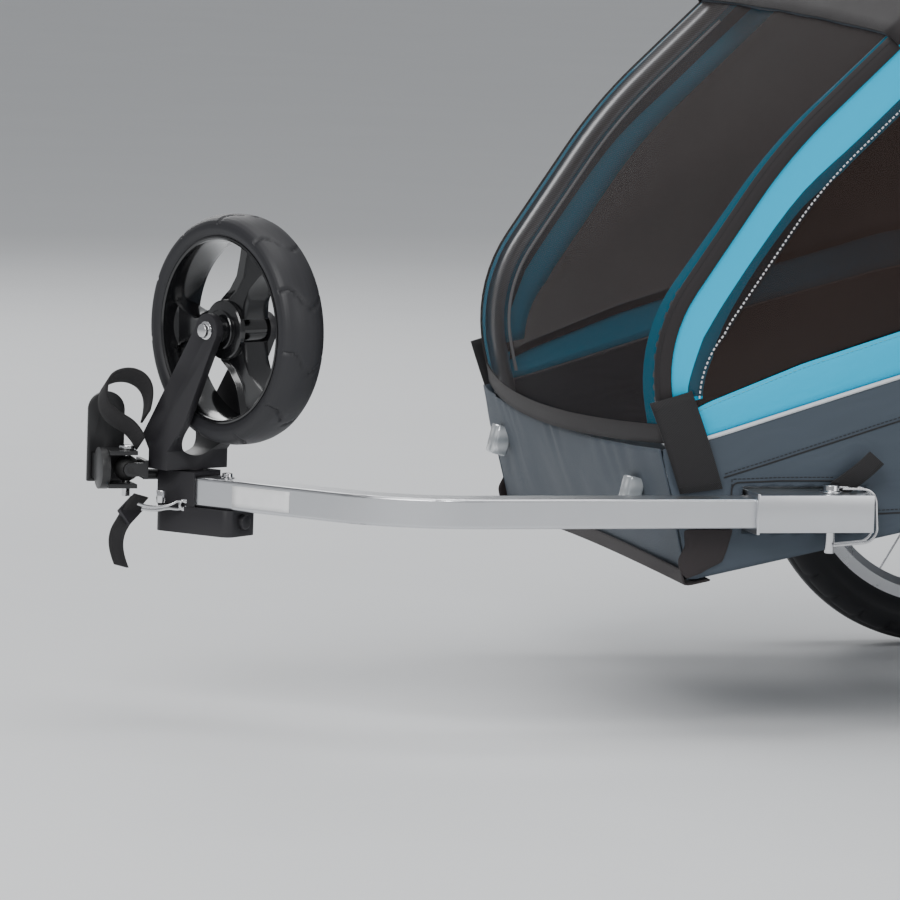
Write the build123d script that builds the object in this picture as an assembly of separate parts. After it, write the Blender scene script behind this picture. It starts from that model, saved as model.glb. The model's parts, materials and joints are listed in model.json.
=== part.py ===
from build123d import *
import os
from math import atan2, cos, degrees, hypot, pi, radians, sin, tan

# Two-seat child bicycle trailer, towed position.
# +X points forward (travel), +Y to the left (tow arm side), +Z up.
# All lengths are millimetres. While modelling, X = 0 is the wheel axle and Z = 0 the ground.
# Every node is moved along X at the end, so that the origin lies in the middle of the length.

# ---- driving dimensions: wheels and axle ----
tyre_width = 47.0
tyre_wall = 3.5
rim_seat_d = 305.0
wheel_radius = rim_seat_d / 2 + tyre_width
spoke_count = 20
spoke_r = 1.1
rim_half_width = 14.0
rim_depth = 15.0
rim_flange = 6.0
hub_half = 24.0
pin_beyond_hub = 7.3
hub_r = 14.0
flange_r = 24.0
pin_r = 6.35
running_gap = 0.08
button_travel = 3.5
button_hold = 3.4

# ---- driving dimensions: base frame ----
rail_y = 262.0
wheel_plane_y = rail_y + 98.0
rail_size = 25.0
rail_wall = 2.0
rail_z = 226.0
rail_front = 470.0
rail_rear = -400.0
cross_r = 11.0
front_cross_x = 455.0
seat_cross_x = 105.0
rear_cross_x = -385.0
axle_r = 12.5
tube_wall = 1.8

# ---- driving dimensions: side hoops, roof and cabin ----
hoop_r = 11.0
hoop_y = rail_y + 28.5
hoop_pivot = (488.0, 223.0)
hoop_corners = [(525.0, 376.0), (402.0, 560.0), (130.0, 822.0)]
hoop_bends = [140.0, 500.0, 350.0]
hoop_top = (-215.0, 815.0)
cover_split_share = 0.40
skin = 2.0
skin_gap = 0.6
side_skin_y = hoop_y + hoop_r + 0.8
tub_skin = 3.0
body_rear = -448.0
tub_lower = 222.0
tub_front_low = (486.0, 150.0)
tub_front_high = (518.0, 276.0)
tub_break_x = 150.0
tub_rear_top = 258.0
tub_top = [(472.0, 287.0), (279.0, 347.0), (100.0, 397.0), (-100.0, 437.0)]
tub_top = tub_top + [(-330.0, 452.0), (-362.0, tub_rear_top)]
cover_bend_z = 470.0

# ---- driving dimensions: seat ----
seat_rear = -212.0
seat_front = 120.0
seat_half_width = rail_y - 24.0
seat_bottom = 238.0
seat_thick = 32.0
backrest_pivot = (-235.0, 300.0)
backrest_top = (-270.0, 690.0)
backrest_y = rail_y - 12.0
backrest_r = 10.0
backrest_pad = 20.0

# ---- driving dimensions: handlebar ----
handle_y = hoop_y + 27.5
handle_r = 11.0
handle_end = (-440.0, 905.0)
grip_r = 15.0
grip_half = 190.0

# ---- driving dimensions: tow arm and receiver ----
receiver_front = 433.0
receiver_length = 118.0
receiver_height = 36.0
receiver_width = 58.0
receiver_wall = 3.5
receiver_outer_y = rail_y + 83.0
tow_z = 218.0
arm_width = 35.5
arm_bend_x = 775.0
arm_bend_r = 150.0
arm_rise = 4.0
stem_x = 936.0
stem_y = 122.0
arm_clear = 0.25
lock_pin_x = 352.0
lock_pin_r = 4.8
lock_lift = 70.0

# ---- driving dimensions: caster wheel parked on the arm ----
caster_axis_deg = 24.0
caster_trail = 70.0
caster_wheel_z = 378.0
caster_tyre_r = 110.0
caster_tyre_w = 50.0
caster_tyre_t = 24.0
caster_rim_r = 88.0
caster_hub_r = 28.0
spoke_angles = (152.0, 272.0, 392.0)
stem_r = 9.0
fork_inner = 29.0
fork_thick = 8.0
crown_half = 14.0
leg_tip = 15.5
crown_z = 238.5
crown_height = 13.0
head_low = 178.0

# ---- driving dimensions: hitch ----
ball_x = 994.0
ball_y = 112.0
ball_z = 237.0
ball_r = 12.5
neck_z = 231.0
neck_r = 5.0
yoke_gap = 14.0
yoke_plate = 4.0
yoke_half = 17.0
hitch_pin_r = 4.0
axle_hole_r = 5.2
axle_hole = (1008.0, 290.0)
axle_plate_y = 79.0
axle_plate_t = 5.0
axle_plate_half = 18.0

# ---- worked out ----
x_front = axle_hole[0] + axle_plate_half
x_rear = handle_end[0] - grip_r
x_mid = (x_front + x_rear) / 2
arm_height = receiver_height - 2 * receiver_wall - 2 * arm_clear


def save(name, *shapes):
    """Write one node: its solids, moved so that the origin is mid-length."""
    solids = [solid for shape in shapes for solid in shape.solids()]
    moved = [Pos(-x_mid, 0, 0) * solid for solid in solids]
    export_step(moved[0] if len(moved) == 1 else Compound(children=moved), "parts/" + name + ".step")


def rod_x(r, x0, x1, y, z):
    return Pos((x0 + x1) / 2, y, z) * Rot(0, 90, 0) * Cylinder(r, abs(x1 - x0))


def rod_y(r, x, y0, y1, z):
    return Pos(x, (y0 + y1) / 2, z) * Rot(90, 0, 0) * Cylinder(r, abs(y1 - y0))


def rod_z(r, x, y, z0, z1):
    return Pos(x, y, (z0 + z1) / 2) * Cylinder(r, abs(z1 - z0))


def block(x0, x1, y0, y1, z0, z1):
    return Pos((x0 + x1) / 2, (y0 + y1) / 2, (z0 + z1) / 2) * Box(abs(x1 - x0), abs(y1 - y0), abs(z1 - z0))


def plate_xz(points, y0, y1):
    """A flat plate whose outline is drawn in X and Z, between two Y planes."""
    face = make_face(Polyline(*points, close=True))
    return Pos(0, y1, 0) * extrude(Plane.XZ * face, y1 - y0)


def other_side(shape):
    return mirror(shape, about=Plane.XZ)


def both_sides(shape):
    return [shape, other_side(shape)]


def tube_along(path, r):
    start = Plane(origin=path @ 0, z_dir=path % 0)
    return sweep(start * Circle(r), path=path)


# ---- side hoop curve ----
def hoop_points(offset):
    """Corner points of the hoop curve, moved outwards by an offset."""
    line = [hoop_pivot] + hoop_corners + [hoop_top]
    angles = [atan2(b[1] - a[1], b[0] - a[0]) for a, b in zip(line, line[1:])]
    first = (line[0][0] + offset * sin(angles[0]), line[0][1] - offset * cos(angles[0]))
    moved = [first]
    for i in range(1, len(line) - 1):
        middle = (angles[i - 1] + angles[i]) / 2
        reach = offset / cos((angles[i] - angles[i - 1]) / 2)
        moved.append((line[i][0] + reach * sin(middle), line[i][1] - reach * cos(middle)))
    moved.append((line[-1][0] + offset * sin(angles[-1]), line[-1][1] - offset * cos(angles[-1])))
    return moved


def hoop_line(offset):
    return FilletPolyline(*hoop_points(offset), radius=[r + offset for r in hoop_bends])


def hoop_strip(inner, outer, half_width):
    """A curved sheet that follows the hoops from side to side."""
    low = hoop_line(inner)
    high = hoop_line(outer)
    ends = [Line(low @ 0, high @ 0), Line(low @ 1, high @ 1)]
    face = make_face(low.edges() + high.edges() + ends[0].edges() + ends[1].edges())
    return Pos(0, half_width, 0) * extrude(Plane.XZ * face, 2 * half_width)


def split_point():
    a = hoop_corners[1]
    b = hoop_corners[2]
    return tuple(a[i] + cover_split_share * (b[i] - a[i]) for i in (0, 1))


def split_box(behind):
    """A large box that keeps what lies behind or in front of the roof's front seam."""
    a = hoop_corners[1]
    b = hoop_corners[2]
    lean = degrees(atan2(b[1] - a[1], b[0] - a[0]))
    size = 2000.0
    gap = skin_gap / 2
    centre = size / 2 + gap if behind else -size / 2 - gap
    at = split_point()
    return Pos(at[0], 0, at[1]) * Rot(0, -lean, 0) * Pos(centre, 0, 0) * Box(size, size, size)


# ---- base frame ----
def base_rails():
    half = rail_size / 2
    outer = block(rail_rear, rail_front, rail_y - half, rail_y + half, rail_z - half, rail_z + half)
    inside = half - rail_wall
    hollow = block(rail_rear - 1, rail_front + 1, rail_y - inside, rail_y + inside,
                   rail_z - inside, rail_z + inside)
    save("base_rails", *both_sides(outer - hollow))


def cross_tubes():
    reach = rail_y - rail_size / 2
    tubes = []
    for x in (front_cross_x, seat_cross_x, rear_cross_x):
        bore = rod_y(cross_r - tube_wall, x, -reach - 1, reach + 1, rail_z)
        tubes.append(rod_y(cross_r, x, -reach, reach, rail_z) - bore)
    save("cross_tubes", *tubes)


socket_inner_y = rail_y + rail_size / 2 + 12.0
socket_outer_y = wheel_plane_y - hub_half - 2.0
socket_r = 19.0
pin_inner_y = socket_inner_y + 3.0
pin_outer_y = wheel_plane_y + hub_half + pin_beyond_hub


def axle_tube():
    tube = rod_y(axle_r, 0, -socket_inner_y, socket_inner_y, wheel_radius)
    bore = rod_y(axle_r - tube_wall, 0, -socket_inner_y - 1, socket_inner_y + 1, wheel_radius)
    save("axle_tube", tube - bore)


def axle_brackets():
    half = rail_size / 2
    body = block(-32, 32, rail_y - half, rail_y + half, wheel_radius - axle_r - 6, rail_z - half)
    save("axle_brackets", *both_sides(body - rod_y(axle_r, 0, 0, 400, wheel_radius)))


def wheel_sockets():
    barrel = rod_y(socket_r, 0, socket_inner_y, socket_outer_y, wheel_radius)
    flange = rod_y(socket_r + 1.5, 0, socket_inner_y, socket_inner_y + 4, wheel_radius)
    bore = rod_y(pin_r, 0, pin_inner_y, socket_outer_y + 1, wheel_radius)
    save("wheel_sockets", *both_sides(barrel + flange - bore))


def axle_pins():
    pin = rod_y(pin_r, 0, pin_inner_y, pin_outer_y, wheel_radius)
    collar = rod_y(9, 0, pin_outer_y - 1.8, pin_outer_y, wheel_radius)
    bore = rod_y(3.0 + running_gap, 0, pin_outer_y - 26, pin_outer_y + 1, wheel_radius)
    save("axle_pins", *both_sides(pin + collar - bore))


def axle_buttons():
    stem = rod_y(3.0, 0, pin_outer_y - button_hold, pin_outer_y + button_travel + 0.6, wheel_radius)
    cap = rod_y(6.5, 0, pin_outer_y + button_travel + 0.5, pin_outer_y + button_travel + 3.5, wheel_radius)
    button = stem + cap
    save("axle_button_left", button)
    save("axle_button_right", other_side(button))


# ---- wheels ----
def ring(points, y):
    """A solid ring: points are (radius, distance along the axle), turned about the axle."""
    face = make_face(Polyline(*points, close=True))
    turned = revolve(face, Axis.Y)
    return Pos(0, y, wheel_radius) * turned


def wheel(side, sign):
    centre = wheel_radius - tyre_width / 2
    rim_top = rim_seat_d / 2 + rim_flange
    casing = Pos(centre, 0) * Circle(tyre_width / 2) - Pos(centre, 0) * Circle(tyre_width / 2 - tyre_wall)
    bed = Pos(rim_top - 50, 0) * Rectangle(100, 4 * tyre_width)
    tyre = Pos(0, wheel_plane_y, wheel_radius) * revolve(casing - bed, Axis.Y)
    low = rim_top - rim_depth - rim_flange
    w = rim_half_width
    shape = [(rim_top, -w), (rim_top, w), (low + 8, w), (low, w - 6), (low, 6 - w), (low + 8, -w)]
    well = [(rim_top + 1, 2 - w), (rim_top + 1, w - 2), (low + 9, w - 2)]
    well = well + [(low + 3, w - 7), (low + 3, 7 - w), (low + 9, 2 - w)]
    rim = ring(shape, wheel_plane_y)
    rim = rim - ring(well, wheel_plane_y)
    barrel = rod_y(hub_r, 0, wheel_plane_y - hub_half, wheel_plane_y + hub_half, wheel_radius)
    flange_at = hub_half - 7
    hub = barrel
    for at_y in (wheel_plane_y - flange_at, wheel_plane_y + flange_at):
        hub = hub + rod_y(flange_r, 0, at_y - 1.5, at_y + 1.5, wheel_radius)
    hub = hub - rod_y(pin_r + running_gap, 0, 0, 600, wheel_radius)
    spokes = []
    for i in range(spoke_count):
        turn = 2 * pi * (i + 0.5) / spoke_count
        s = -1 if i % 2 else 1
        lag = turn + (0.55 if (i // 2) % 2 else -0.55)
        seat_r = flange_r - 0.5
        inner = Vector(seat_r * cos(lag), s * (flange_at - 1.5 - spoke_r), seat_r * sin(lag))
        outer = Vector((low - 0.4) * cos(turn), s * 3.0, (low - 0.4) * sin(turn))
        run = outer - inner
        at = Plane(origin=inner + run / 2, z_dir=run)
        spokes.append(Pos(0, wheel_plane_y, wheel_radius) * (at * Cylinder(spoke_r, run.length)))
    for name, shapes in (("tyre", [tyre]), ("rim", [rim]), ("hub", [hub]), ("spokes", spokes)):
        placed = shapes if sign > 0 else [other_side(s) for s in shapes]
        save(name + "_" + side, *placed)


# ---- pivots ----
bracket_t = 4.5
lug_half = 8.5
lug_r = 12.0
pivot_r = 5.0
rail_outer = rail_y + rail_size / 2
hoop_lug_in = rail_outer + bracket_t + 0.8
backrest_plate_y = rail_y - 2.0


def pivot_brackets():
    px, pz = hoop_pivot
    hoop_plate = block(px - 58, px + 9, rail_outer, rail_outer + bracket_t, pz - 11, pz + 18)
    hoop_plate = hoop_plate - rod_y(pivot_r, px, 200, 400, pz)
    bx, bz = backrest_pivot
    low = rail_z + rail_size / 2
    rest_plate = block(bx - 22, bx + 22, backrest_plate_y, backrest_plate_y + 6, low, bz + 14)
    rest_plate = rest_plate - rod_y(pivot_r, bx, 200, 400, bz)
    save("pivot_brackets", *both_sides(hoop_plate), *both_sides(rest_plate))


def pivot_pins():
    px, pz = hoop_pivot
    outer = hoop_lug_in + 2 * lug_half + 0.5
    hoop_pin = rod_y(pivot_r, px, rail_outer - 2.5, outer + 2, pz)
    hoop_pin = hoop_pin + rod_y(8, px, rail_outer - 2.5, rail_outer, pz) + rod_y(8, px, outer, outer + 2, pz)
    bx, bz = backrest_pivot
    inner = backrest_y - lug_half - 0.5
    rest_pin = rod_y(pivot_r, bx, inner - 3, backrest_plate_y + 8.5, bz)
    rest_pin = rest_pin + rod_y(8, bx, inner - 3, inner, bz)
    rest_pin = rest_pin + rod_y(8, bx, backrest_plate_y + 6, backrest_plate_y + 8.5, bz)
    save("pivot_pins", *both_sides(hoop_pin), *both_sides(rest_pin))


def lug(x, z, y_mid, lean_deg, reach):
    """A flat eye for a pivot pin, with a shank that runs up into its tube."""
    eye = rod_y(lug_r, 0, y_mid - lug_half, y_mid + lug_half, 0)
    shank = block(0, reach, y_mid - lug_half, y_mid + lug_half, -lug_r + 1.5, lug_r - 1.5)
    bore = rod_y(pivot_r + running_gap, 0, y_mid - 20, y_mid + 20, 0)
    return Pos(x, 0, z) * (Rot(0, -lean_deg, 0) * (eye + shank) - bore)


# ---- hoops ----
hoop_start = 22.0


def side_hoops():
    points = hoop_points(0)
    first = points[0]
    lean = atan2(points[1][1] - first[1], points[1][0] - first[0])
    start = (first[0] + hoop_start * cos(lean), first[1] + hoop_start * sin(lean))
    path = Pos(0, hoop_y, 0) * (Plane.XZ * FilletPolyline(start, *points[1:], radius=hoop_bends))
    eye = lug(first[0], first[1], hoop_lug_in + lug_half, degrees(lean), hoop_start + 3)
    hub_clear = rod_y(hub_r_top, hoop_top[0], 200, 400, hoop_top[1])
    hoop = tube_along(path, hoop_r) + eye - hub_clear
    save("side_hoop_left", hoop)
    save("side_hoop_right", other_side(hoop))
    return hoop


hub_r_top = 20.0
hub_in = hoop_y - 7.5
hub_out = hoop_y + 10.8


def hoop_hubs():
    disc = rod_y(hub_r_top, hoop_top[0], hub_in, hub_out, hoop_top[1])
    post = rod_y(7.0, hoop_top[0], hub_out, handle_y + 13.5, hoop_top[1])
    cap = rod_y(12.0, hoop_top[0], handle_y + 11.5, handle_y + 14.5, hoop_top[1])
    save("hoop_hubs", *both_sides(disc + post + cap))


def roof_bars(hoop):
    arc_mid = hoop_line(0) @ 0.66
    front = rod_y(9, arc_mid.X, -hoop_y, hoop_y, arc_mid.Y) - hoop - other_side(hoop)
    front = max(front.solids(), key=lambda s: s.volume)
    rear = rod_y(9, hoop_top[0], -hub_in, hub_in, hoop_top[1])
    save("roof_bars", front, rear)


def covers():
    inner = hoop_r + skin_gap
    strip = hoop_strip(inner, inner + skin, side_skin_y - 0.8)
    roof = strip & split_box(True)
    roof = roof & block(hoop_top[0] + hub_r_top + 2, 2000, -400, 400, 0, 2000)
    save("roof_cover", roof)
    front = strip & split_box(False)
    front = front & block(-2000, 2000, -400, 400, tub_front_high[1] + 2, 2000)
    save("front_cover", front)


# ---- body shell ----
def tub_outline():
    lower = [tub_front_low, (tub_break_x, tub_lower), (body_rear, tub_lower), (body_rear, tub_rear_top)]
    return lower + tub_top[::-1] + [tub_front_high]


def tub_sides():
    side = plate_xz(tub_outline(), side_skin_y, side_skin_y + tub_skin)
    rear = receiver_front - receiver_length
    half = receiver_height / 2 + 4
    slot = block(rear - 4, receiver_front + 4, 200, 400, tow_z - half, tow_z + half)
    save("tub_side_left", side - slot)
    save("tub_side_right", other_side(side))


def tub_ends():
    half = side_skin_y - 0.2
    low = tub_front_low
    high = tub_front_high
    t = tub_skin
    front = plate_xz([low, high, (high[0] - t, high[1]), (low[0] - t, low[1])], -half, half)
    save("tub_front", front)
    rear = block(body_rear, body_rear + t, -half, half, tub_lower, tub_rear_top - 8)
    save("tub_rear", rear)


def tub_floor():
    reach = rail_y - rail_size / 2
    cargo = block(rear_cross_x + cross_r, seat_cross_x - cross_r, -reach, reach, 214, 217)
    run = tub_front_low[0] - tub_break_x
    fall = (tub_front_low[1] - tub_lower) / run
    under_rail = rail_z - rail_size / 2 - 4
    x0 = tub_break_x + (under_rail - tub_lower) / fall
    x1 = tub_front_low[0] - 4
    z0 = tub_lower + fall * (x0 - tub_break_x)
    z1 = tub_lower + fall * (x1 - tub_break_x)
    half = side_skin_y - 0.3
    well = plate_xz([(x0, z0), (x1, z1), (x1, z1 + 3), (x0, z0 + 3)], -half, half)
    save("tub_floor", cargo, well)


def front_bumper():
    low = tub_front_low
    lean = atan2(tub_front_high[1] - low[1], tub_front_high[0] - low[0])
    up = (low[0] + 34 * cos(lean), low[1] + 34 * sin(lean))
    out = 3.5
    outline = [(low[0] - 46, low[1] + 8.4), (low[0] - 46, low[1] + 3), (low[0] - 6, low[1] - 6),
               (low[0] + out, low[1] - 5), (up[0] + out, up[1]), (up[0] + 0.4, up[1]),
               (low[0] + 0.4, low[1] - 0.4), (low[0] - 4, low[1] - 0.4)]
    half = side_skin_y + tub_skin
    save("front_bumper", plate_xz(outline, -half, half))


def front_reflectors():
    low = tub_front_low
    high = tub_front_high
    lean = degrees(atan2(high[1] - low[1], high[0] - low[0]))
    made = []
    for y in (reflector_y, -reflector_y):
        share = 0.62
        x = low[0] + share * (high[0] - low[0])
        z = low[1] + share * (high[1] - low[1])
        made.append(Pos(x, y, z) * Rot(0, 90 - lean, 0) * Pos(7.2, 0, 0) * Box(14, 26, 30))
    save("front_reflectors", *made)


reflector_y = side_skin_y - 74.3


def corner_straps():
    outline = [(524, 322), (488, 332), (455, 241), (497, 235)]
    strap = plate_xz(outline, side_skin_y + tub_skin + 0.2, side_skin_y + tub_skin + 2.7)
    save("corner_straps", *both_sides(strap))


def side_covers():
    upper = hoop_line(hoop_r + skin_gap + skin)
    rise = 1.0
    first = (tub_front_high[0] - 4.0, tub_front_high[1] + 3.0)
    lower = [(x, z + rise) for x, z in tub_top] + [(body_rear, tub_rear_top + rise)]
    end = upper @ 1
    cut = block(-2000, 2000, 0, 400, tub_front_high[1] + 3.0, 2000)
    begin = upper @ 0
    corners = [(begin.X, begin.Y), (tub_top[0][0], 200), (body_rear, 200), (body_rear, cover_bend_z)]
    outline = Polyline(*corners, (end.X, end.Y))
    face = make_face(upper.edges() + outline.edges())
    blank = Pos(0, side_skin_y + skin, 0) * extrude(Plane.XZ * face, skin)
    ahead = [(600, 100), (600, first[1] - 20), first]
    behind = [(-600, tub_rear_top + rise), (-600, 100)]
    below = plate_xz(ahead + lower + behind, 0, 400)
    hub_hole = rod_y(hub_r_top + 3, hoop_top[0], 200, 400, hoop_top[1])
    cover = (blank & cut) - below - hub_hole
    cover = max(cover.solids(), key=lambda s: s.volume)
    save("side_cover_left", cover)
    save("side_cover_right", other_side(cover))


def rear_cover():
    top = (hoop_top[0] - hub_r_top - 4, hoop_top[1] - 12)
    bend = (body_rear, cover_bend_z - 6)
    low = (body_rear, tub_rear_top - 6)
    half = side_skin_y - 0.8
    t = 2.2
    outline = [top, bend, low, (low[0] + t, low[1]), (bend[0] + t, bend[1]), (top[0] + t, top[1])]
    save("rear_cover", plate_xz(outline, -half, half))


# ---- seat ----
def seat():
    top = seat_bottom + seat_thick
    pad = block(seat_rear, seat_front, -seat_half_width, seat_half_width, seat_bottom + 0.5, top)
    save("seat_base", fillet(pad.edges().filter_by(Axis.Y), 9))
    belts = []
    for y in (-118.0, 118.0):
        belts.append(block(-150, 20, y - 13, y + 13, top, top + 2))
        belts.append(block(-42, -2, y - 20, y + 20, top + 2, top + 8))
    save("lap_belts", belts[0] + belts[1], belts[2] + belts[3])


def backrest_frame_axes():
    dx = backrest_top[0] - backrest_pivot[0]
    dz = backrest_top[1] - backrest_pivot[1]
    return hypot(dx, dz), degrees(atan2(dz, dx))


def backrest():
    length, lean = backrest_frame_axes()
    bend = 45.0
    legs = [(24, backrest_y), (length, backrest_y), (length, -backrest_y), (24, -backrest_y)]
    path = FilletPolyline(*legs, radius=bend)
    bow = tube_along(path, backrest_r)
    tip = Pos(backrest_pivot[0], 0, backrest_pivot[1]) * Rot(0, -lean, 0)
    eyes = []
    for y in (backrest_y, -backrest_y):
        eyes.append(lug(backrest_pivot[0], backrest_pivot[1], y, lean, 28))
    save("backrest_frame", tip * bow + eyes[0] + eyes[1])
    back = -backrest_r - 0.4
    face = back - backrest_pad
    pad = block(32, length - 12, -seat_half_width, seat_half_width, face, back)
    pad = fillet(pad.edges().filter_by(Axis.Y), 8)
    save("backrest_panel", tip * pad)
    straps = []
    for y in (-168, -78, 78, 168):
        straps.append(tip * block(60, length - 40, y - 13, y + 13, face - 2.5, face))
    save("shoulder_straps", *straps)


# ---- handlebar ----
def handlebar():
    dx = handle_end[0] - hoop_top[0]
    dz = handle_end[1] - hoop_top[1]
    length = hypot(dx, dz)
    lean = degrees(atan2(dz, dx))
    frame = Pos(hoop_top[0], 0, hoop_top[1]) * Rot(0, -lean, 0)
    corners = [(13, handle_y), (length, handle_y), (length, -handle_y), (13, -handle_y)]
    path = FilletPolyline(*corners, radius=60.0)
    bow = tube_along(path, handle_r)
    gripped = bow - rod_y(handle_r + 1, length, -grip_half, grip_half, 0)
    core = rod_y(handle_r, length, -grip_half, grip_half, 0)
    eyes = []
    for y in (handle_y, -handle_y):
        eyes.append(rod_y(15, 0, y - handle_r, y + handle_r, 0))
    bar = gripped + core + eyes[0] + eyes[1]
    for y in (handle_y, -handle_y):
        bar = bar - rod_y(7.0 + running_gap, 0, y - 20, y + 20, 0)
    save("handlebar", frame * bar)
    grip = rod_y(grip_r, length, -grip_half + 2, grip_half - 2, 0) - rod_y(handle_r, length, -400, 400, 0)
    save("handlebar_grip", frame * grip)


# ---- tow arm ----
receiver_inner_y = receiver_outer_y - receiver_width
arm_outer_y = receiver_outer_y - receiver_wall - arm_clear
arm_mid_y = arm_outer_y - arm_width / 2


def tow_receiver():
    rear = receiver_front - receiver_length
    half = receiver_height / 2
    body = block(rear, receiver_front, receiver_inner_y, receiver_outer_y, tow_z - half, tow_z + half)
    wall = receiver_wall
    hollow = block(rear + wall, receiver_front + 1, receiver_inner_y + wall, receiver_outer_y - wall,
                   tow_z - half + wall, tow_z + half - wall)
    lip = block(receiver_front - 3, receiver_front, receiver_inner_y - 1.5, receiver_outer_y + 1.5,
                tow_z - half - 1.5, tow_z + half + 1.5)
    spacer = block(rear + 20, receiver_front - 20, rail_outer, receiver_inner_y, tow_z - 10, tow_z + 14)
    hole = rod_z(lock_pin_r + running_gap, lock_pin_x, arm_mid_y, tow_z - 60, tow_z + 60)
    save("tow_receiver", body + lip + spacer - hollow - hole)


def receiver_liner():
    rear = receiver_front - receiver_length
    half = receiver_height / 2 - receiver_wall
    inner = receiver_inner_y + receiver_wall
    outer = arm_outer_y - arm_width - arm_clear
    body = block(rear + 6, receiver_front - 4, inner, outer, tow_z - half, tow_z + half)
    save("receiver_liner", body)


def arm_points():
    end = (stem_x, stem_y)
    bend = (arm_bend_x, arm_mid_y)
    run = hypot(end[0] - bend[0], end[1] - bend[1])
    ux = (end[0] - bend[0]) / run
    uy = (end[1] - bend[1]) / run
    return bend, (ux, uy), run


head_pocket = 16.0


def tow_arm():
    bend, along, run = arm_points()
    start_x = receiver_front - receiver_length + 8
    stop = run - head_pocket
    tip = (bend[0] + along[0] * stop, bend[1] + along[1] * stop)
    path = FilletPolyline((start_x, arm_mid_y), bend, tip, radius=arm_bend_r)
    path = Pos(0, 0, tow_z) * path
    section = RectangleRounded(arm_width, arm_height, 3.0)
    inside = RectangleRounded(arm_width - 5, arm_height - 5, 1.5)
    start = Plane(origin=path @ 0, x_dir=(0, 1, 0), z_dir=(1, 0, 0))
    arm = sweep(start * (section - inside), path=path)
    hole = rod_z(lock_pin_r + running_gap, lock_pin_x, arm_mid_y, tow_z - 60, tow_z + 60)
    save("tow_arm", arm - hole)
    return arm


head_top = crown_z - 1.5
head_width = 46.0
head_front_reach = 22.0
head_rear_reach = 68.0


def arm_head():
    bend, along, run = arm_points()
    turn = degrees(atan2(along[1], along[0]))
    at = Pos(stem_x, stem_y, 0) * Rot(0, 0, turn)
    shelf = tow_z - arm_height / 2 - 0.2
    half = head_width / 2
    box = block(-head_rear_reach, head_front_reach, -half, half, head_low, shelf)
    box = fillet(box.edges().filter_by(Axis.Z), 9)
    neck = block(-24, head_front_reach - 2, -half + 2, half - 2, shelf, head_top)
    body = box + neck
    side = arm_width / 2 + 0.2
    pocket = block(-200, -head_pocket + 0.3, -side, side, shelf, shelf + arm_height + 0.6)
    body = body - pocket
    button = rod_x(7 + running_gap, -head_rear_reach - 1, -head_rear_reach + 12, 0, button_z)
    button_bore = rod_x(3 + running_gap, -head_rear_reach - 1, -head_rear_reach + 30, 0, button_z)
    body = at * (body - button - button_bore)
    stem_bore = rod_z(stem_r + running_gap, stem_x, stem_y, head_low + 10, 400)
    neck_bore = rod_x(neck_r + running_gap, neck_seat_x, ball_x, ball_y, neck_z)
    save("arm_head", body - stem_bore - neck_bore)
    press = rod_x(7, -head_rear_reach - 4.5, -head_rear_reach + 6, 0, button_z)
    press = press + rod_x(3, -head_rear_reach + 5, -head_rear_reach + 22, 0, button_z)
    save("caster_button", at * press)


button_z = 192.0
neck_seat_x = 947.5


def frame_bolts():
    rear = receiver_front - receiver_length
    bolts = []
    under = tow_z - receiver_height / 2
    bolt_y = receiver_inner_y + 8
    for x in (rear + 14, rear + 26):
        bolts.append(rod_z(2.2, x, bolt_y, under - 6, under) + rod_z(4, x, bolt_y, under - 9, under - 6))
    bend, along, run = arm_points()
    back_from_end = run - 48
    x = bend[0] + along[0] * back_from_end
    y = bend[1] + along[1] * back_from_end
    top = tow_z + arm_height / 2
    bolts.append(rod_z(7, x, y, top, top + 1.2) + rod_z(5, x, y, top + 1.2, top + 5))
    save("frame_bolts", *bolts)


def tow_pin():
    top = tow_z + receiver_height / 2
    low = tow_z - receiver_height / 2
    shaft = rod_z(lock_pin_r, lock_pin_x, arm_mid_y, low - 22, top + 6)
    washer = rod_z(11, lock_pin_x, arm_mid_y, top + 0.2, top + 2.2)
    head = rod_z(8, lock_pin_x, arm_mid_y, top + 2.2, top + 8)
    save("tow_pin", shaft + washer + head)


wire_r = 1.4


def pin_bail():
    """Two sprung wires from the pin's head, round the receiver's rear end, to the pin's tip."""
    top = tow_z + receiver_height / 2
    low = tow_z - receiver_height / 2
    rear = receiver_front - receiver_length
    wires = []
    for s in (-1, 1):
        y = arm_mid_y + s * (lock_pin_r + wire_r + 0.4)
        route = [(lock_pin_x - 9, top + 5), (rear - 6, top + 4)]
        route = route + [(rear - 9, low - 10), (lock_pin_x - 2, low - 14)]
        path = Pos(0, y, 0) * (Plane.XZ * FilletPolyline(*route, radius=[14, 14]))
        wires.append(tube_along(path, wire_r))
    save("pin_bail", *wires)


# ---- caster ----
def caster_frame():
    """Local axes at the stem: X along the wheel's axle, Y along the trail, Z up."""
    return Pos(stem_x, stem_y, 0) * Rot(0, 0, caster_axis_deg)


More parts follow.
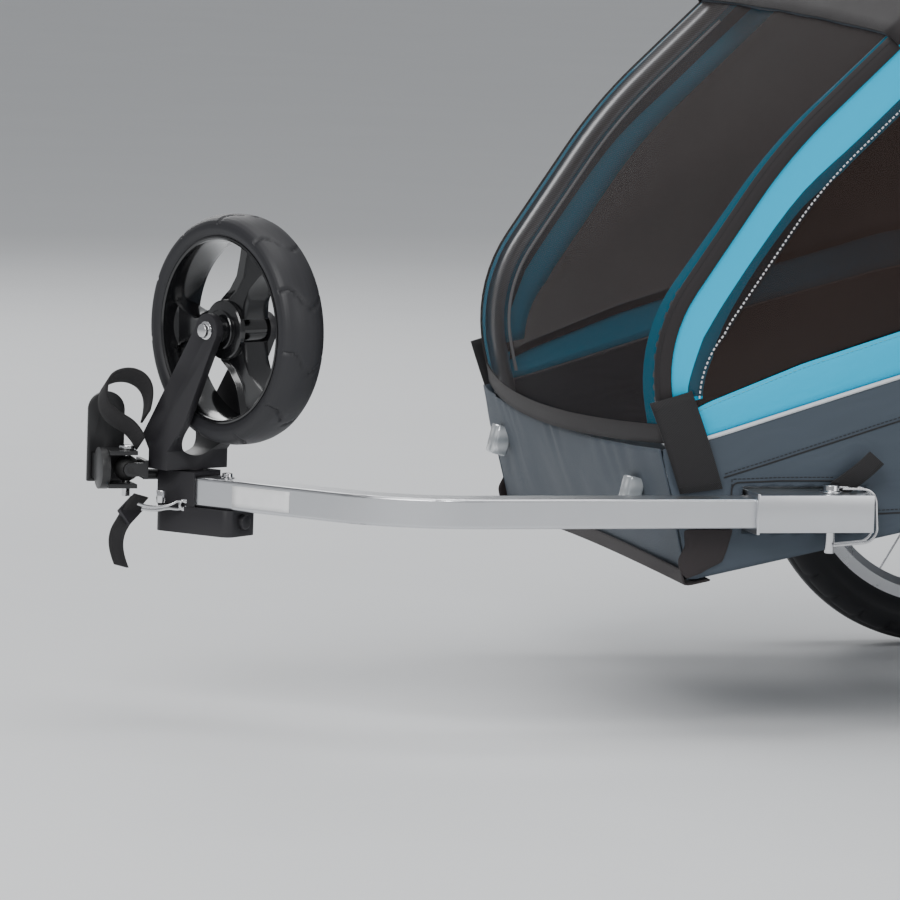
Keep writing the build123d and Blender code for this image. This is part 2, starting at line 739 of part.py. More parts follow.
def caster():
    at = caster_frame()
    outer = fork_inner + fork_thick
    arch_z = crown_z + crown_height + fork_inner
    half = crown_half
    rear = [(-half, crown_z), (-half, crown_z + 18), (-24, crown_z + 32)]
    tip = [(caster_trail - leg_tip, caster_wheel_z + 4), (caster_trail + leg_tip, caster_wheel_z - 4)]
    front = [(38, crown_z + 44), (half, crown_z + 18), (half, crown_z)]
    body = plate_yz(rear + tip + front, -outer, outer)
    body = body + rod_x(16, -outer, outer, caster_trail, caster_wheel_z)
    body = body - block(-fork_inner, fork_inner, -200, 200, arch_z, 900)
    body = body - rod_y(fork_inner, 0, -200, 200, arch_z)
    stem = rod_z(stem_r, 0, 0, head_low + 12, crown_z + 2)
    collar = rod_z(15, 0, 0, crown_z - 1.2, crown_z)
    fork = body + stem + collar
    axle_r_small = 4.0
    fork = fork - rod_x(axle_r_small, -100, 100, caster_trail, caster_wheel_z)
    save("caster_fork", at * fork)
    bolt = rod_x(axle_r_small, -outer - 3, outer + 3, caster_trail, caster_wheel_z)
    for s in (-1, 1):
        bolt = bolt + rod_x(9, s * outer, s * (outer + 1.5), caster_trail, caster_wheel_z)
        bolt = bolt + rod_x(6.5, s * (outer + 1.5), s * (outer + 6), caster_trail, caster_wheel_z)
    save("caster_axle", at * bolt)
    centre = Pos(0, caster_trail, caster_wheel_z)
    section = RectangleRounded(2 * caster_tyre_t, caster_tyre_w, 15)
    casing = Pos(caster_tyre_r - caster_tyre_t, 0) * section
    bed = Pos(caster_rim_r - 50, 0) * Rectangle(100, 200)
    tyre = revolve(casing - bed, Axis.Y)
    spin = Rot(0, 0, -90)
    save("caster_tyre", at * centre * spin * tyre)
    rim = caster_ring(caster_rim_r, caster_rim_r - 5, 21)
    hub = Cylinder(13, 2 * (fork_inner - 0.6)) + Cylinder(caster_hub_r, 34)
    body = rim + hub
    spoke_length = caster_rim_r - 3 - 20
    for angle in spoke_angles:
        spoke = Pos(20 + spoke_length / 2, 0, 0) * Box(spoke_length, 34, 30)
        body = body + Rot(0, 0, angle) * spoke
    body = body - Cylinder(axle_r_small + running_gap, 200)
    save("caster_wheel", at * centre * (Rot(0, 90, 0) * body))


def caster_ring(outer, inner, half):
    return Cylinder(outer, 2 * half) - Cylinder(inner, 2 * half + 2)


def plate_yz(points, x0, x1):
    face = make_face(Polyline(*points, close=True))
    return Pos(x0, 0, 0) * extrude(Plane.YZ * face, x1 - x0)


# ---- hitch ----
ear_gap = 0.8
ear_t = 4.0
bridge_x = ball_x - ball_r - 5.0


def hitch():
    ear_in = ball_r + ear_gap
    ear_out = ear_in + ear_t
    shaft = rod_x(neck_r, neck_seat_x + 0.5, bridge_x + 1, ball_y, neck_z)
    bridge = block(bridge_x, bridge_x + 4, ball_y - ear_out, ball_y + ear_out, ball_z - 9, ball_z + 9)
    neck = shaft + bridge
    pivot = 3.0
    for s in (-1, 1):
        y0 = ball_y + s * ear_in
        y1 = ball_y + s * ear_out
        neck = neck + block(bridge_x, ball_x, y0, y1, ball_z - 6.5, ball_z + 6.5)
        neck = neck + rod_y(6.5, ball_x, y0, y1, ball_z)
    neck = neck - rod_y(pivot + running_gap, ball_x, ball_y - 40, ball_y + 40, ball_z)
    save("hitch_neck", neck)
    ball = Pos(ball_x, ball_y, ball_z) * Sphere(ball_r)
    ball = ball + rod_y(pivot, ball_x, ball_y - ear_out, ball_y + ear_out, ball_z)
    ball = ball - rod_z(hitch_pin_r + running_gap, ball_x, ball_y, 0, 500)
    save("hitch_ball", ball)
    back = ball_x + ear_out + 2.5
    low = ball_z - yoke_gap
    high = ball_z + yoke_gap
    yoke = block(ball_x - 7, back + 1, ball_y - yoke_half, ball_y + yoke_half, high, high + yoke_plate)
    yoke = yoke + block(ball_x - 7, back + 1, ball_y - yoke_half, ball_y + yoke_half, low - yoke_plate, low)
    yoke = yoke + rod_x(yoke_gap + yoke_plate + 2, back, back + 8, ball_y, ball_z)
    yoke = yoke + block(back, back + 8, axle_plate_y + axle_plate_t - 1, ball_y, ball_z - 12, ball_z + 12)
    yoke = yoke - rod_z(hitch_pin_r, ball_x, ball_y, 0, 500)
    save("hitch_yoke", yoke)
    pin = rod_z(hitch_pin_r, ball_x, ball_y, low - yoke_plate - 9, high + yoke_plate + 3)
    pin = pin + rod_z(8, ball_x, ball_y, high + yoke_plate, high + yoke_plate + 4)
    save("hitch_pin", pin)
    y0 = axle_plate_y
    y1 = axle_plate_y + axle_plate_t
    hx, hz = axle_hole
    plate = rod_y(axle_plate_half, hx, y0, y1, hz)
    plate = plate + block(hx - axle_plate_half, hx + axle_plate_half, y0, y1, ball_z - 16, hz)
    boss = block(back, back + 8, y1 - 2, y1, ball_z - 12, ball_z + 12)
    save("axle_plate", plate - boss - rod_y(axle_hole_r, hx, 0, 200, hz))


def safety_strap():
    """Webbing from the arm head, up and over where the bicycle's stay runs, and back."""
    y = ball_y + 14
    wide = 25.0
    t = 2.4
    route = [(984, 263), (1018, 292), (1014, 330), (986, 324), (982, 288)]
    path = FilletPolyline(*route, radius=[14, 12, 12])
    band = make_face(offset(path, t / 2, side=Side.BOTH).edges())
    loop = Pos(0, y + wide / 2, 0) * extrude(Plane.XZ * band, wide)
    save("safety_strap", loop)


os.makedirs("parts", exist_ok=True)
base_rails()
cross_tubes()
axle_tube()
axle_brackets()
wheel_sockets()
axle_pins()
axle_buttons()
wheel("left", 1)
wheel("right", -1)
pivot_brackets()
pivot_pins()
hoop = side_hoops()
hoop_hubs()
roof_bars(hoop)
covers()
tub_sides()
tub_ends()
tub_floor()
front_bumper()
front_reflectors()
corner_straps()
side_covers()
rear_cover()
seat()
backrest()
handlebar()
tow_receiver()
receiver_liner()
tow_arm()
arm_head()
frame_bolts()
tow_pin()
pin_bail()
caster()
hitch()
safety_strap()
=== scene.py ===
import bpy
import bmesh
import json
from math import atan2, ceil, cos, hypot, pi, radians, sin, tan
from mathutils import Matrix, Vector, noise

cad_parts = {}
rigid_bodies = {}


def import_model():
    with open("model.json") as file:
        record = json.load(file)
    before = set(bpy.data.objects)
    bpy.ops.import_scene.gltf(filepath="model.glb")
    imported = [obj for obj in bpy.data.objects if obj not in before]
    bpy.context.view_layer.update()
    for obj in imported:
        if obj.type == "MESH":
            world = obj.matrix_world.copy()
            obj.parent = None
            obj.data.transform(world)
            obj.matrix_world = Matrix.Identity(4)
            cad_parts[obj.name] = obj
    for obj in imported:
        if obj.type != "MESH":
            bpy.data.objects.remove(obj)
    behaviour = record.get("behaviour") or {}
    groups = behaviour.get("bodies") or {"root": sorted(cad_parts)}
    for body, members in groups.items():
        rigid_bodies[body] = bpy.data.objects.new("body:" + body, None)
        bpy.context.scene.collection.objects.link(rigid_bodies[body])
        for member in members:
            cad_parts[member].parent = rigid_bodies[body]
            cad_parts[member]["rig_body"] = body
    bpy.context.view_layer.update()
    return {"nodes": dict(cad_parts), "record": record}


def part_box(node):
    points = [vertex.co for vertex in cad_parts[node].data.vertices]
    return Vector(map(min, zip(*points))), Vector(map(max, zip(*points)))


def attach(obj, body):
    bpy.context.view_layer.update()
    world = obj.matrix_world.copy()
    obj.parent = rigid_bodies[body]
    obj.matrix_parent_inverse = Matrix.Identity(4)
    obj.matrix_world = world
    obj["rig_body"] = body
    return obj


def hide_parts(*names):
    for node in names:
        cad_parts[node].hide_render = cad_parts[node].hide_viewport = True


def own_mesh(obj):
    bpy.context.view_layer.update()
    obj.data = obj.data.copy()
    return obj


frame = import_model()
nodes = frame["nodes"]

# ---- places taken from the frame, in metres ----
tyre_low, tyre_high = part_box("tyre_left")
AXLE_X = (tyre_low.x + tyre_high.x) / 2
AXLE_Z = (tyre_low.z + tyre_high.z) / 2
WHEEL_Y = (tyre_low.y + tyre_high.y) / 2
WHEEL_R = AXLE_Z
TYRE_HALF = (tyre_high.y - tyre_low.y) / 2
SKIN_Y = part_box("side_cover_left")[0].y
TUB_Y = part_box("tub_side_left")[1].y
hoop_low, hoop_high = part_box("side_hoop_left")
HOOP_MM = (hoop_low.y + hoop_high.y) * 500
SKIN_MM = SKIN_Y * 1000
TUB_MM = TUB_Y * 1000
SIDES = ((1, "left"), (-1, "right"))


def mm(x, y, z):
    """A point given in millimetres from the wheel axle and the ground."""
    return Vector((AXLE_X + x / 1000, y / 1000, z / 1000))


# ---- the hoops' curve, in millimetres from the axle and the ground ----
HOOP_CORNERS = [(488, 223), (525, 376), (402, 560), (130, 822), (-215, 815)]
HOOP_BENDS = [140, 500, 350]
COVER_SEAM = (293.2, 664.8)


def hoop_samples(spacing=14):
    """Points on the hoops' centre line, each with its outward direction, evenly spaced."""
    line = [Vector(c) for c in HOOP_CORNERS]
    runs = [(b - a).normalized() for a, b in zip(line, line[1:])]
    found = []
    start = line[0]
    for i, radius in enumerate(HOOP_BENDS):
        turn = runs[i].angle(runs[i + 1])
        cut = radius * tan(turn / 2)
        end = line[i + 1] - runs[i] * cut
        steps = max(1, ceil((end - start).length / spacing))
        for k in range(steps):
            found.append((start.lerp(end, k / steps), runs[i]))
        inward = Vector((-runs[i].y, runs[i].x))
        centre = end + inward * radius
        steps = max(2, ceil(radius * turn / spacing))
        for k in range(steps):
            a = turn * k / steps
            along = Vector((runs[i].x * cos(a) - runs[i].y * sin(a), runs[i].x * sin(a) + runs[i].y * cos(a)))
            found.append((centre + Vector((along.y, -along.x)) * radius, along))
        start = line[i + 1] + runs[i + 1] * cut
    steps = max(1, ceil((line[-1] - start).length / spacing))
    for k in range(steps + 1):
        found.append((start.lerp(line[-1], k / steps), runs[-1]))
    return [(p, Vector((t.y, -t.x))) for p, t in found]


HOOP = hoop_samples()
SEAM_INDEX = min(range(len(HOOP)), key=lambda i: (HOOP[i][0] - Vector(COVER_SEAM)).length)
FOOT_INDEX = min(range(len(HOOP)), key=lambda i: abs(HOOP[i][0].y - 283))


# ---- materials ----
def shader(name, colour, roughness, metallic=0.0, **sockets):
    mat = bpy.data.materials.new(name)
    mat.use_nodes = True
    tree = mat.node_tree
    surface = tree.nodes["Principled BSDF"]
    surface.inputs["Base Color"].default_value = (*colour, 1)
    surface.inputs["Roughness"].default_value = roughness
    surface.inputs["Metallic"].default_value = metallic
    for socket, value in sockets.items():
        surface.inputs[socket.replace("_", " ")].default_value = value
    return mat, tree, surface


def place(tree, scale=(1, 1, 1), turn=(0, 0, 0)):
    coords = tree.nodes.new("ShaderNodeTexCoord")
    mapping = tree.nodes.new("ShaderNodeMapping")
    mapping.inputs["Scale"].default_value = scale
    mapping.inputs["Rotation"].default_value = turn
    tree.links.new(coords.outputs["Object"], mapping.inputs["Vector"])
    return mapping.outputs["Vector"]


def speckle(tree, vector, scale, detail=3.0, roughness=0.6):
    tex = tree.nodes.new("ShaderNodeTexNoise")
    tex.inputs["Scale"].default_value = scale
    tex.inputs["Detail"].default_value = detail
    tex.inputs["Roughness"].default_value = roughness
    tree.links.new(vector, tex.inputs["Vector"])
    return tex.outputs["Fac"]


def threads(tree, vector, scale, direction):
    tex = tree.nodes.new("ShaderNodeTexWave")
    tex.bands_direction = direction
    tex.inputs["Scale"].default_value = scale
    tex.inputs["Distortion"].default_value = 0.4
    tex.inputs["Detail Scale"].default_value = 2.0
    tree.links.new(vector, tex.inputs["Vector"])
    return tex.outputs["Fac"]


def spread(tree, value, low, high):
    node = tree.nodes.new("ShaderNodeMapRange")
    node.inputs["To Min"].default_value = low
    node.inputs["To Max"].default_value = high
    tree.links.new(value, node.inputs["Value"])
    return node.outputs["Result"]


def maths(tree, how, a, b):
    node = tree.nodes.new("ShaderNodeMath")
    node.operation = how
    for socket, value in ((0, a), (1, b)):
        if isinstance(value, (int, float)):
            node.inputs[socket].default_value = value
        else:
            tree.links.new(value, node.inputs[socket])
    return node.outputs[0]


def tint(tree, surface, factor, dark, light):
    ramp = tree.nodes.new("ShaderNodeValToRGB")
    ramp.color_ramp.elements[0].color = (*dark, 1)
    ramp.color_ramp.elements[1].color = (*light, 1)
    tree.links.new(factor, ramp.inputs["Fac"])
    tree.links.new(ramp.outputs["Color"], surface.inputs["Base Color"])


def raise_surface(tree, surface, height, strength, distance):
    bump = tree.nodes.new("ShaderNodeBump")
    bump.inputs["Strength"].default_value = strength
    bump.inputs["Distance"].default_value = distance
    tree.links.new(height, bump.inputs["Height"])
    tree.links.new(bump.outputs["Normal"], surface.inputs["Normal"])


def shades(colour, spread_by):
    return [tuple(max(0.0, c * (1 + s * spread_by)) for c in colour) for s in (-1, 1)]


def cloth(name, colour, thread_mm=0.9, roughness=0.75, variation=0.10, sheen=0.06, shine=0.5):
    """Woven polyester: crossed threads, a slow change of tone and a little sheen."""
    mat, tree, surface = shader(name, colour, roughness, Sheen_Weight=sheen, Sheen_Roughness=0.5,
                                Specular_IOR_Level=shine)
    vector = place(tree)
    dark, light = shades(colour, variation)
    weave_scale = pi * 100 / thread_mm
    warp_x, warp_z, across_y = (threads(tree, vector, weave_scale, axis) for axis in "XZY")
    weft = maths(tree, "ADD", maths(tree, "MULTIPLY", warp_x, warp_z), across_y)
    slow = speckle(tree, vector, 7.0)
    tone = maths(tree, "ADD", maths(tree, "MULTIPLY", slow, 0.8), maths(tree, "MULTIPLY", weft, 0.12))
    tint(tree, surface, tone, dark, light)
    tree.links.new(spread(tree, slow, roughness - 0.08, roughness + 0.08), surface.inputs["Roughness"])
    creases = maths(tree, "MULTIPLY", speckle(tree, place(tree, (1, 1, 0.5)), 22.0, 2.0), 3.0)
    raise_surface(tree, surface, maths(tree, "ADD", weft, creases), 0.5, 0.0002)
    return mat


def webbing(name, colour, pitch_mm=2.4):
    """Ribbed narrow strap, ribs across and a fine diagonal weave."""
    mat, tree, surface = shader(name, colour, 0.8, Sheen_Weight=0.05)
    vector = place(tree)
    rib = threads(tree, vector, pi * 100 / pitch_mm, "DIAGONAL")
    fine = speckle(tree, vector, 900.0, 1.0)
    dark, light = shades(colour, 0.3)
    tint(tree, surface, rib, dark, light)
    raise_surface(tree, surface, maths(tree, "ADD", rib, maths(tree, "MULTIPLY", fine, 0.4)), 0.7, 0.0004)
    return mat


def open_mesh(name, colour, cover, hole_mm=1.6):
    """Knitted mesh: small holes let part of what lies behind through."""
    mat, tree, surface = shader(name, colour, 0.8, Specular_IOR_Level=0.2)
    vector = place(tree)
    scale = pi * 100 / hole_mm
    across = threads(tree, vector, scale, "Y")
    along = threads(tree, vector, scale, "Z")
    knit = maths(tree, "MULTIPLY", across, along)
    slow = speckle(tree, vector, 5.0)
    dark, light = shades(colour, 0.25)
    tint(tree, surface, slow, dark, light)
    holes = spread(tree, knit, min(1.0, cover + 0.06), cover - 0.14)
    tree.links.new(holes, surface.inputs["Alpha"])
    raise_surface(tree, surface, knit, 0.4, 0.0003)
    return mat


def film(name, colour, cover):
    """Tinted flexible window, slightly rippled."""
    mat, tree, surface = shader(name, colour, 0.16, Alpha=cover, Specular_IOR_Level=0.3)
    vector = place(tree)
    slow = speckle(tree, vector, 6.0)
    dark, light = shades(colour, 0.3)
    tint(tree, surface, slow, dark, light)
    tree.links.new(spread(tree, slow, 0.12, 0.26), surface.inputs["Roughness"])
    raise_surface(tree, surface, speckle(tree, vector, 9.0, 1.0), 0.25, 0.004)
    return mat


def metal(name, colour, roughness, grain=(8, 300, 300), depth=0.00003):
    """Drawn metal: fine lines along one direction and a faint change of gloss."""
    mat, tree, surface = shader(name, colour, roughness, 1.0)
    lines = speckle(tree, place(tree, grain), 6.0, 4.0)
    slow = speckle(tree, place(tree), 18.0)
    dark, light = shades(colour, 0.05)
    tint(tree, surface, slow, dark, light)
    tree.links.new(spread(tree, lines, roughness - 0.07, roughness + 0.09), surface.inputs["Roughness"])
    raise_surface(tree, surface, lines, 0.25, depth)
    return mat


def moulded(name, colour, roughness, grain_scale=900.0, depth=0.00008, coat=0.0):
    """Injection moulded plastic or rubber with a fine grain and slightly rubbed areas."""
    mat, tree, surface = shader(name, colour, roughness, Coat_Weight=coat, Coat_Roughness=0.12)
    grain = speckle(tree, place(tree), grain_scale, 2.0)
    slow = speckle(tree, place(tree), 25.0)
    dark, light = shades(colour, 0.18)
    tint(tree, surface, slow, dark, light)
    tree.links.new(spread(tree, slow, roughness - 0.06, roughness + 0.08), surface.inputs["Roughness"])
    raise_surface(tree, surface, grain, 0.4, depth)
    return mat


TURQUOISE = cloth("turquoise_cloth", (0.0, 0.52, 0.84), 0.7, 0.75, 0.05, 0.0, 0.12)
SLATE = cloth("slate_cloth", (0.050, 0.068, 0.090), 0.8, 0.62, 0.12)
SEAT_CLOTH = cloth("seat_cloth", (0.085, 0.095, 0.105), 1.4, 0.85, 0.15, 0.5)
BLACK_TAPE = cloth("black_binding_tape", (0.014, 0.011, 0.012), 0.9, 0.75, 0.2)
BROWN_TRIM = cloth("brown_black_trim", (0.022, 0.016, 0.017), 1.0, 0.7, 0.2)
FRONT_MESH = open_mesh("front_knit_mesh", (0.020, 0.013, 0.012), 0.60)
WINDOW = film("smoked_window", (0.022, 0.012, 0.009), 0.68)
STRAP = webbing("black_strap_webbing", (0.014, 0.013, 0.014), 1.2)
PIPING = cloth("white_reflective_piping", (0.72, 0.75, 0.78), 0.5, 0.35, 0.05, 0.1)
THREAD = cloth("sewing_thread", (0.12, 0.55, 0.68), 0.4, 0.7, 0.1)
DARK_THREAD = cloth("dark_sewing_thread", (0.012, 0.012, 0.014), 0.4, 0.7, 0.1)
ALUMINIUM = metal("satin_aluminium", (0.70, 0.71, 0.73), 0.30)
RIM_ALLOY = metal("rim_alloy", (0.78, 0.79, 0.81), 0.28, (3, 3, 3), 0.000005)
BRIGHT = metal("plated_steel", (0.72, 0.72, 0.73), 0.14, (30, 30, 30))
WIRE = metal("steel_wire", (0.62, 0.62, 0.64), 0.24, (30, 30, 30))
BLACK_STEEL = moulded("black_coated_steel", (0.018, 0.018, 0.019), 0.36, 700.0)
PLASTIC = moulded("black_plastic", (0.018, 0.017, 0.020), 0.42)
GLOSS = moulded("gloss_black_plastic", (0.007, 0.007, 0.008), 0.16, 500.0, 0.00001, 0.6)
TYRE = moulded("tyre_rubber", (0.017, 0.017, 0.020), 0.48, 500.0, 0.00012)
RUBBER = moulded("soft_rubber", (0.016, 0.016, 0.016), 0.6, 600.0)
FOAM = moulded("grip_foam", (0.02, 0.02, 0.021), 0.9, 420.0, 0.0005)
LABEL = moulded("white_label", (0.92, 0.92, 0.92), 0.6, 300.0, 0.00002)


def lens():
    """Clear reflector over a silver prism grid."""
    mat, tree, surface = shader("reflector_lens", (0.75, 0.78, 0.80), 0.12, 0.35, Coat_Weight=1.0)
    vector = place(tree)
    prisms = maths(tree, "MULTIPLY", threads(tree, vector, 22.0, "Y"), threads(tree, vector, 22.0, "Z"))
    tint(tree, surface, prisms, (0.42, 0.45, 0.47), (0.88, 0.90, 0.92))
    raise_surface(tree, surface, prisms, 0.8, 0.0006)
    return mat


LENS = lens()


# ---- making pieces ----
def finish_mesh(bm, name, material, smooth=30.0):
    mesh = bpy.data.meshes.new(name)
    bm.to_mesh(mesh)
    bm.free()
    piece = bpy.data.objects.new(name, mesh)
    bpy.context.scene.collection.objects.link(piece)
    mesh.materials.append(material)
    for face in mesh.polygons:
        face.use_smooth = True
    mesh.set_sharp_from_angle(angle=radians(smooth))
    return piece


def add_modifier(piece, kind, **settings):
    modifier = piece.modifiers.new(kind.lower(), kind)
    for key, value in settings.items():
        setattr(modifier, key, value)
    return modifier


def soften(piece, levels=1):
    add_modifier(piece, "SUBSURF", levels=levels, render_levels=levels)


def thicken(piece, thickness, side=-1.0):
    add_modifier(piece, "SOLIDIFY", thickness=thickness, offset=side)


def fit(piece, body, slot, *replaced):
    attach(piece, body)
    if replaced:
        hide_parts(*replaced)
    return piece


def loft(name, rows, material, outward=None):
    """A sheet through rows of points, each row bridged to the next."""
    bm = bmesh.new()
    chains = []
    for row in rows:
        verts = [bm.verts.new(p) for p in row]
        chains.append([bm.edges.new(pair) for pair in zip(verts, verts[1:])])
    for low, high in zip(chains, chains[1:]):
        bmesh.ops.bridge_loops(bm, edges=low + high)
    bmesh.ops.recalc_face_normals(bm, faces=bm.faces)
    if outward is not None:
        bm.normal_update()
        facing = sum((f.normal.dot(Vector(outward)) * f.calc_area() for f in bm.faces))
        if facing < 0:
            bmesh.ops.reverse_faces(bm, faces=bm.faces)
    return finish_mesh(bm, name, material, 60)


def run_length(points):
    return sum((Vector(b) - Vector(a)).length for a, b in zip(points, points[1:]))


def make(name, rows, material, body, slot, outward=None, thick=0.0, grow=-1.0, replaced=()):
    """A piece through rows of points, as thick as its cloth, fastened to its body."""
    piece = loft(name, rows, material, outward)
    if thick:
        thicken(piece, thick, grow)
    return fit(piece, body, slot, *replaced)


def sew(name, rows, material, body, slot, outward, thick=0.0, replaced=()):
    """A cloth piece, made and fastened like any other piece."""
    piece = make(name, rows, material, body, slot, outward, thick, -1.0, replaced)
    return piece


def crumple(piece):
    """Gives a piece its own copy of its mesh."""
    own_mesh(piece)


def round_edges(bm, edges, offset, segments=2, **settings):
    bmesh.ops.bevel(bm, geom=edges, offset=offset, segments=segments, profile=0.5, affect="EDGES", material=-1,
                    **settings)


def rounded_block(bm, size, matrix, edge, segments=2):
    """Adds a block with rounded edges, placed by a matrix."""
    made = bmesh.ops.create_cube(bm, size=1)["verts"]
    bmesh.ops.scale(bm, vec=size, verts=made)
    bmesh.ops.transform(bm, matrix=matrix, verts=made)
    fresh = set(made)
    round_edges(bm, [e for e in bm.edges if e.verts[0] in fresh], edge, segments)


def wave(p, size, seed):
    return noise.noise(Vector((p[0] / size + seed, p[1] / size - seed, p[2] / size + 0.37 * seed)))


def spline_mesh(name, points, resolution, radius=0.0):
    """The mesh of a smooth line through points, or of a round section along it."""
    curve = bpy.data.curves.new(name, "CURVE")
    curve.dimensions = "3D"
    curve.bevel_depth = radius
    curve.bevel_resolution = 3
    curve.use_fill_caps = radius > 0
    spline = curve.splines.new("NURBS")
    spline.points.add(len(points) - 1)
    for target, p in zip(spline.points, points):
        target.co = (*p, 1)
    spline.order_u = 3
    spline.use_endpoint_u = True
    spline.resolution_u = resolution
    holder = bpy.data.objects.new(name + "_line", curve)
    bpy.context.scene.collection.objects.link(holder)
    bpy.context.view_layer.update()
    mesh = bpy.data.meshes.new_from_object(holder.evaluated_get(bpy.context.evaluated_depsgraph_get()))
    bpy.data.objects.remove(holder)
    return mesh


def rounded_tube(name, points, radius, material):
    mesh = spline_mesh(name, points, 4, radius)
    bm = bmesh.new()
    bm.from_mesh(mesh)
    bpy.data.meshes.remove(mesh)
    bmesh.ops.remove_doubles(bm, verts=bm.verts, dist=1e-6)
    bmesh.ops.recalc_face_normals(bm, faces=bm.faces)
    return finish_mesh(bm, name, material, 50)


def stitches(name, points, material, body, slot, length=0.0032, gap=0.0018, radius=0.00045):
    """A row of sewn stitches: short rounded bars along a line."""
    bm = bmesh.new()
    total = run_length(points)
    count = int(total / (length + gap))
    for i in range(count):
        middle = point_at(points, (i + 0.5) * (length + gap))
        ahead = point_at(points, (i + 0.5) * (length + gap) + 0.0005)
        along = (ahead - middle).normalized()
        made = bmesh.ops.create_cone(bm, cap_ends=True, segments=5, radius1=radius, radius2=radius, depth=length)
        turn = Vector((0, 0, 1)).rotation_difference(along).to_matrix().to_4x4()
        bmesh.ops.transform(bm, matrix=Matrix.Translation(middle) @ turn, verts=made["verts"])
    return fit(finish_mesh(bm, name, material), body, slot)


def point_at(points, distance):
    for a, b in zip(points, points[1:]):
        a = Vector(a)
        b = Vector(b)
        step = (b - a).length
        if distance <= step:
            return a.lerp(b, distance / step if step else 0)
        distance -= step
    return Vector(points[-1])


def refined(node, material, width):
    """A copy of a CAD node with merged faces and softened edges, in the node's place."""
    source = nodes[node]
    bm = bmesh.new()
    bm.from_mesh(source.data)
    bmesh.ops.remove_doubles(bm, verts=bm.verts, dist=2e-6)
    bmesh.ops.dissolve_limit(bm, angle_limit=radians(0.6), verts=bm.verts, edges=bm.edges)
    sharp = [e for e in bm.edges if len(e.link_faces) == 2 and e.calc_face_angle(0) > radians(30)]
    round_edges(bm, sharp, width, offset_type="OFFSET", clamp_overlap=True)
    piece = finish_mesh(bm, node + "_shell", material, 35)
    return fit(piece, source["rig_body"], slot_of(node), node)


SLOTS = {entry["node"]: entry["material_slot"] for entry in frame["record"]["subparts"]}


def slot_of(node):
    return SLOTS[node]


# ---- camera, floor and light ----
def camera():
    """The view from the left and a little in front: long lens, slightly above."""
    toward = Vector((sin(radians(16)) * cos(radians(6)), cos(radians(16)) * cos(radians(6)), sin(radians(6))))
    right = Vector((0, 0, 1)).cross(toward).normalized()
    up = toward.cross(right)
    travel = Vector((-1, 0, 0))
    roll = atan2(travel.dot(up), travel.dot(right))
    level = right * cos(roll) + up * sin(roll)
    upright = up * cos(roll) - right * sin(roll)
    data = bpy.data.cameras.new("camera")
    data.lens = 320
    data.sensor_width = 36
    data.clip_end = 60
    holder = bpy.data.objects.new("camera", data)
    bpy.context.scene.collection.objects.link(holder)
    turn = Matrix((level, upright, toward)).transposed().to_4x4()
    holder.matrix_world = Matrix.Translation(mm(2799.59, 7532.75, 1065.63)) @ turn
    bpy.context.scene.camera = holder


def studio():
    bm = bmesh.new()
    bmesh.ops.create_grid(bm, x_segments=2, y_segments=2, size=14)
    mat, tree, surface = shader("studio_floor", (0.78, 0.79, 0.80), 0.75)
    tint(tree, surface, speckle(tree, place(tree), 3.0), (0.76, 0.77, 0.78), (0.80, 0.81, 0.82))
    floor = finish_mesh(bm, "studio_floor", mat)
    floor.location.z = -0.0004
    world = bpy.data.worlds.new("studio")
    world.use_nodes = True
    world.node_tree.nodes["Background"].inputs["Color"].default_value = (0.93, 0.95, 0.98, 1)
    world.node_tree.nodes["Background"].inputs["Strength"].default_value = 0.42
    bpy.context.scene.world = world
    lamps = [("key_lamp", (2.6, 3.4, 3.2), 2.4, 130), ("fill_lamp", (-2.6, 3.8, 2.2), 2.6, 45),
             ("top_lamp", (0.0, 0.0, 4.2), 3.0, 70), ("rim_lamp", (0.5, -4.0, 2.6), 2.4, 60)]
    for name, spot, size, power in lamps:
        data = bpy.data.lights.new(name, "AREA")
        data.shape = "SQUARE"
        data.size = size
        data.energy = power
        lamp = bpy.data.objects.new(name, data)
        lamp.location = spot
        lamp.rotation_euler = (Vector((0.1, 0, 0.35)) - Vector(spot)).to_track_quat("-Z", "Y").to_euler()
        bpy.context.scene.collection.objects.link(lamp)


camera()
studio()


# ---- fabric over the hoops ----
WRAP_R = 12.6


def off_hoop(i, y, out):
    """A point beside the hoops' curve: y across, and a distance outwards from the centre line."""
    spot, outward = HOOP[i]
    return mm(spot.x + outward.x * out, y, spot.y + outward.y * out)


def round_hoop(i, side, angle, r):
    """A point on a circle round one hoop: 0 degrees is outwards, 90 is away from the cabin."""
    return off_hoop(i, side * (HOOP_MM + r * sin(radians(angle))), r * cos(radians(angle)))


def across(crown, inset=0.0, steps=28):
    """One crosswise line over both hoops: (y, distance outwards), in millimetres."""
    r = WRAP_R - inset
    half = [(HOOP_MM + r * sin(radians(a)), r * cos(radians(a))) for a in (90, 67, 45, 22)]
    middle = []
    for k in range(steps + 1):
        share = 1 - 2 * k / steps
        middle.append((HOOP_MM * share, r + crown * (1 - share ** 2)))
    return half + middle + [(-y, n) for y, n in half[::-1]]


def over_hoops(first, last, crown_of, inset, ripple):
    """Rows of a cloth over both hoops, with a soft ripple between them."""
    rows = []
    for i in range(first, last + 1):
        outward = HOOP[i][1]
        row = []
        for y, n in across(crown_of((i - first) / (last - first)), inset):
            p = off_hoop(i, y, n)
            shift = ripple * wave(p, 0.09, 3.1) * max(0.0, 1 - abs(y) / (HOOP_MM - 0.5))
            row.append(p + Vector((outward.x, 0, outward.y)) * shift)
        rows.append(row)
    return rows


def front_crown(share):
    return 24 * (1 - share) ** 0.8 + 6


def roof_crown(share):
    return 6 + 9 * sin(pi * share)


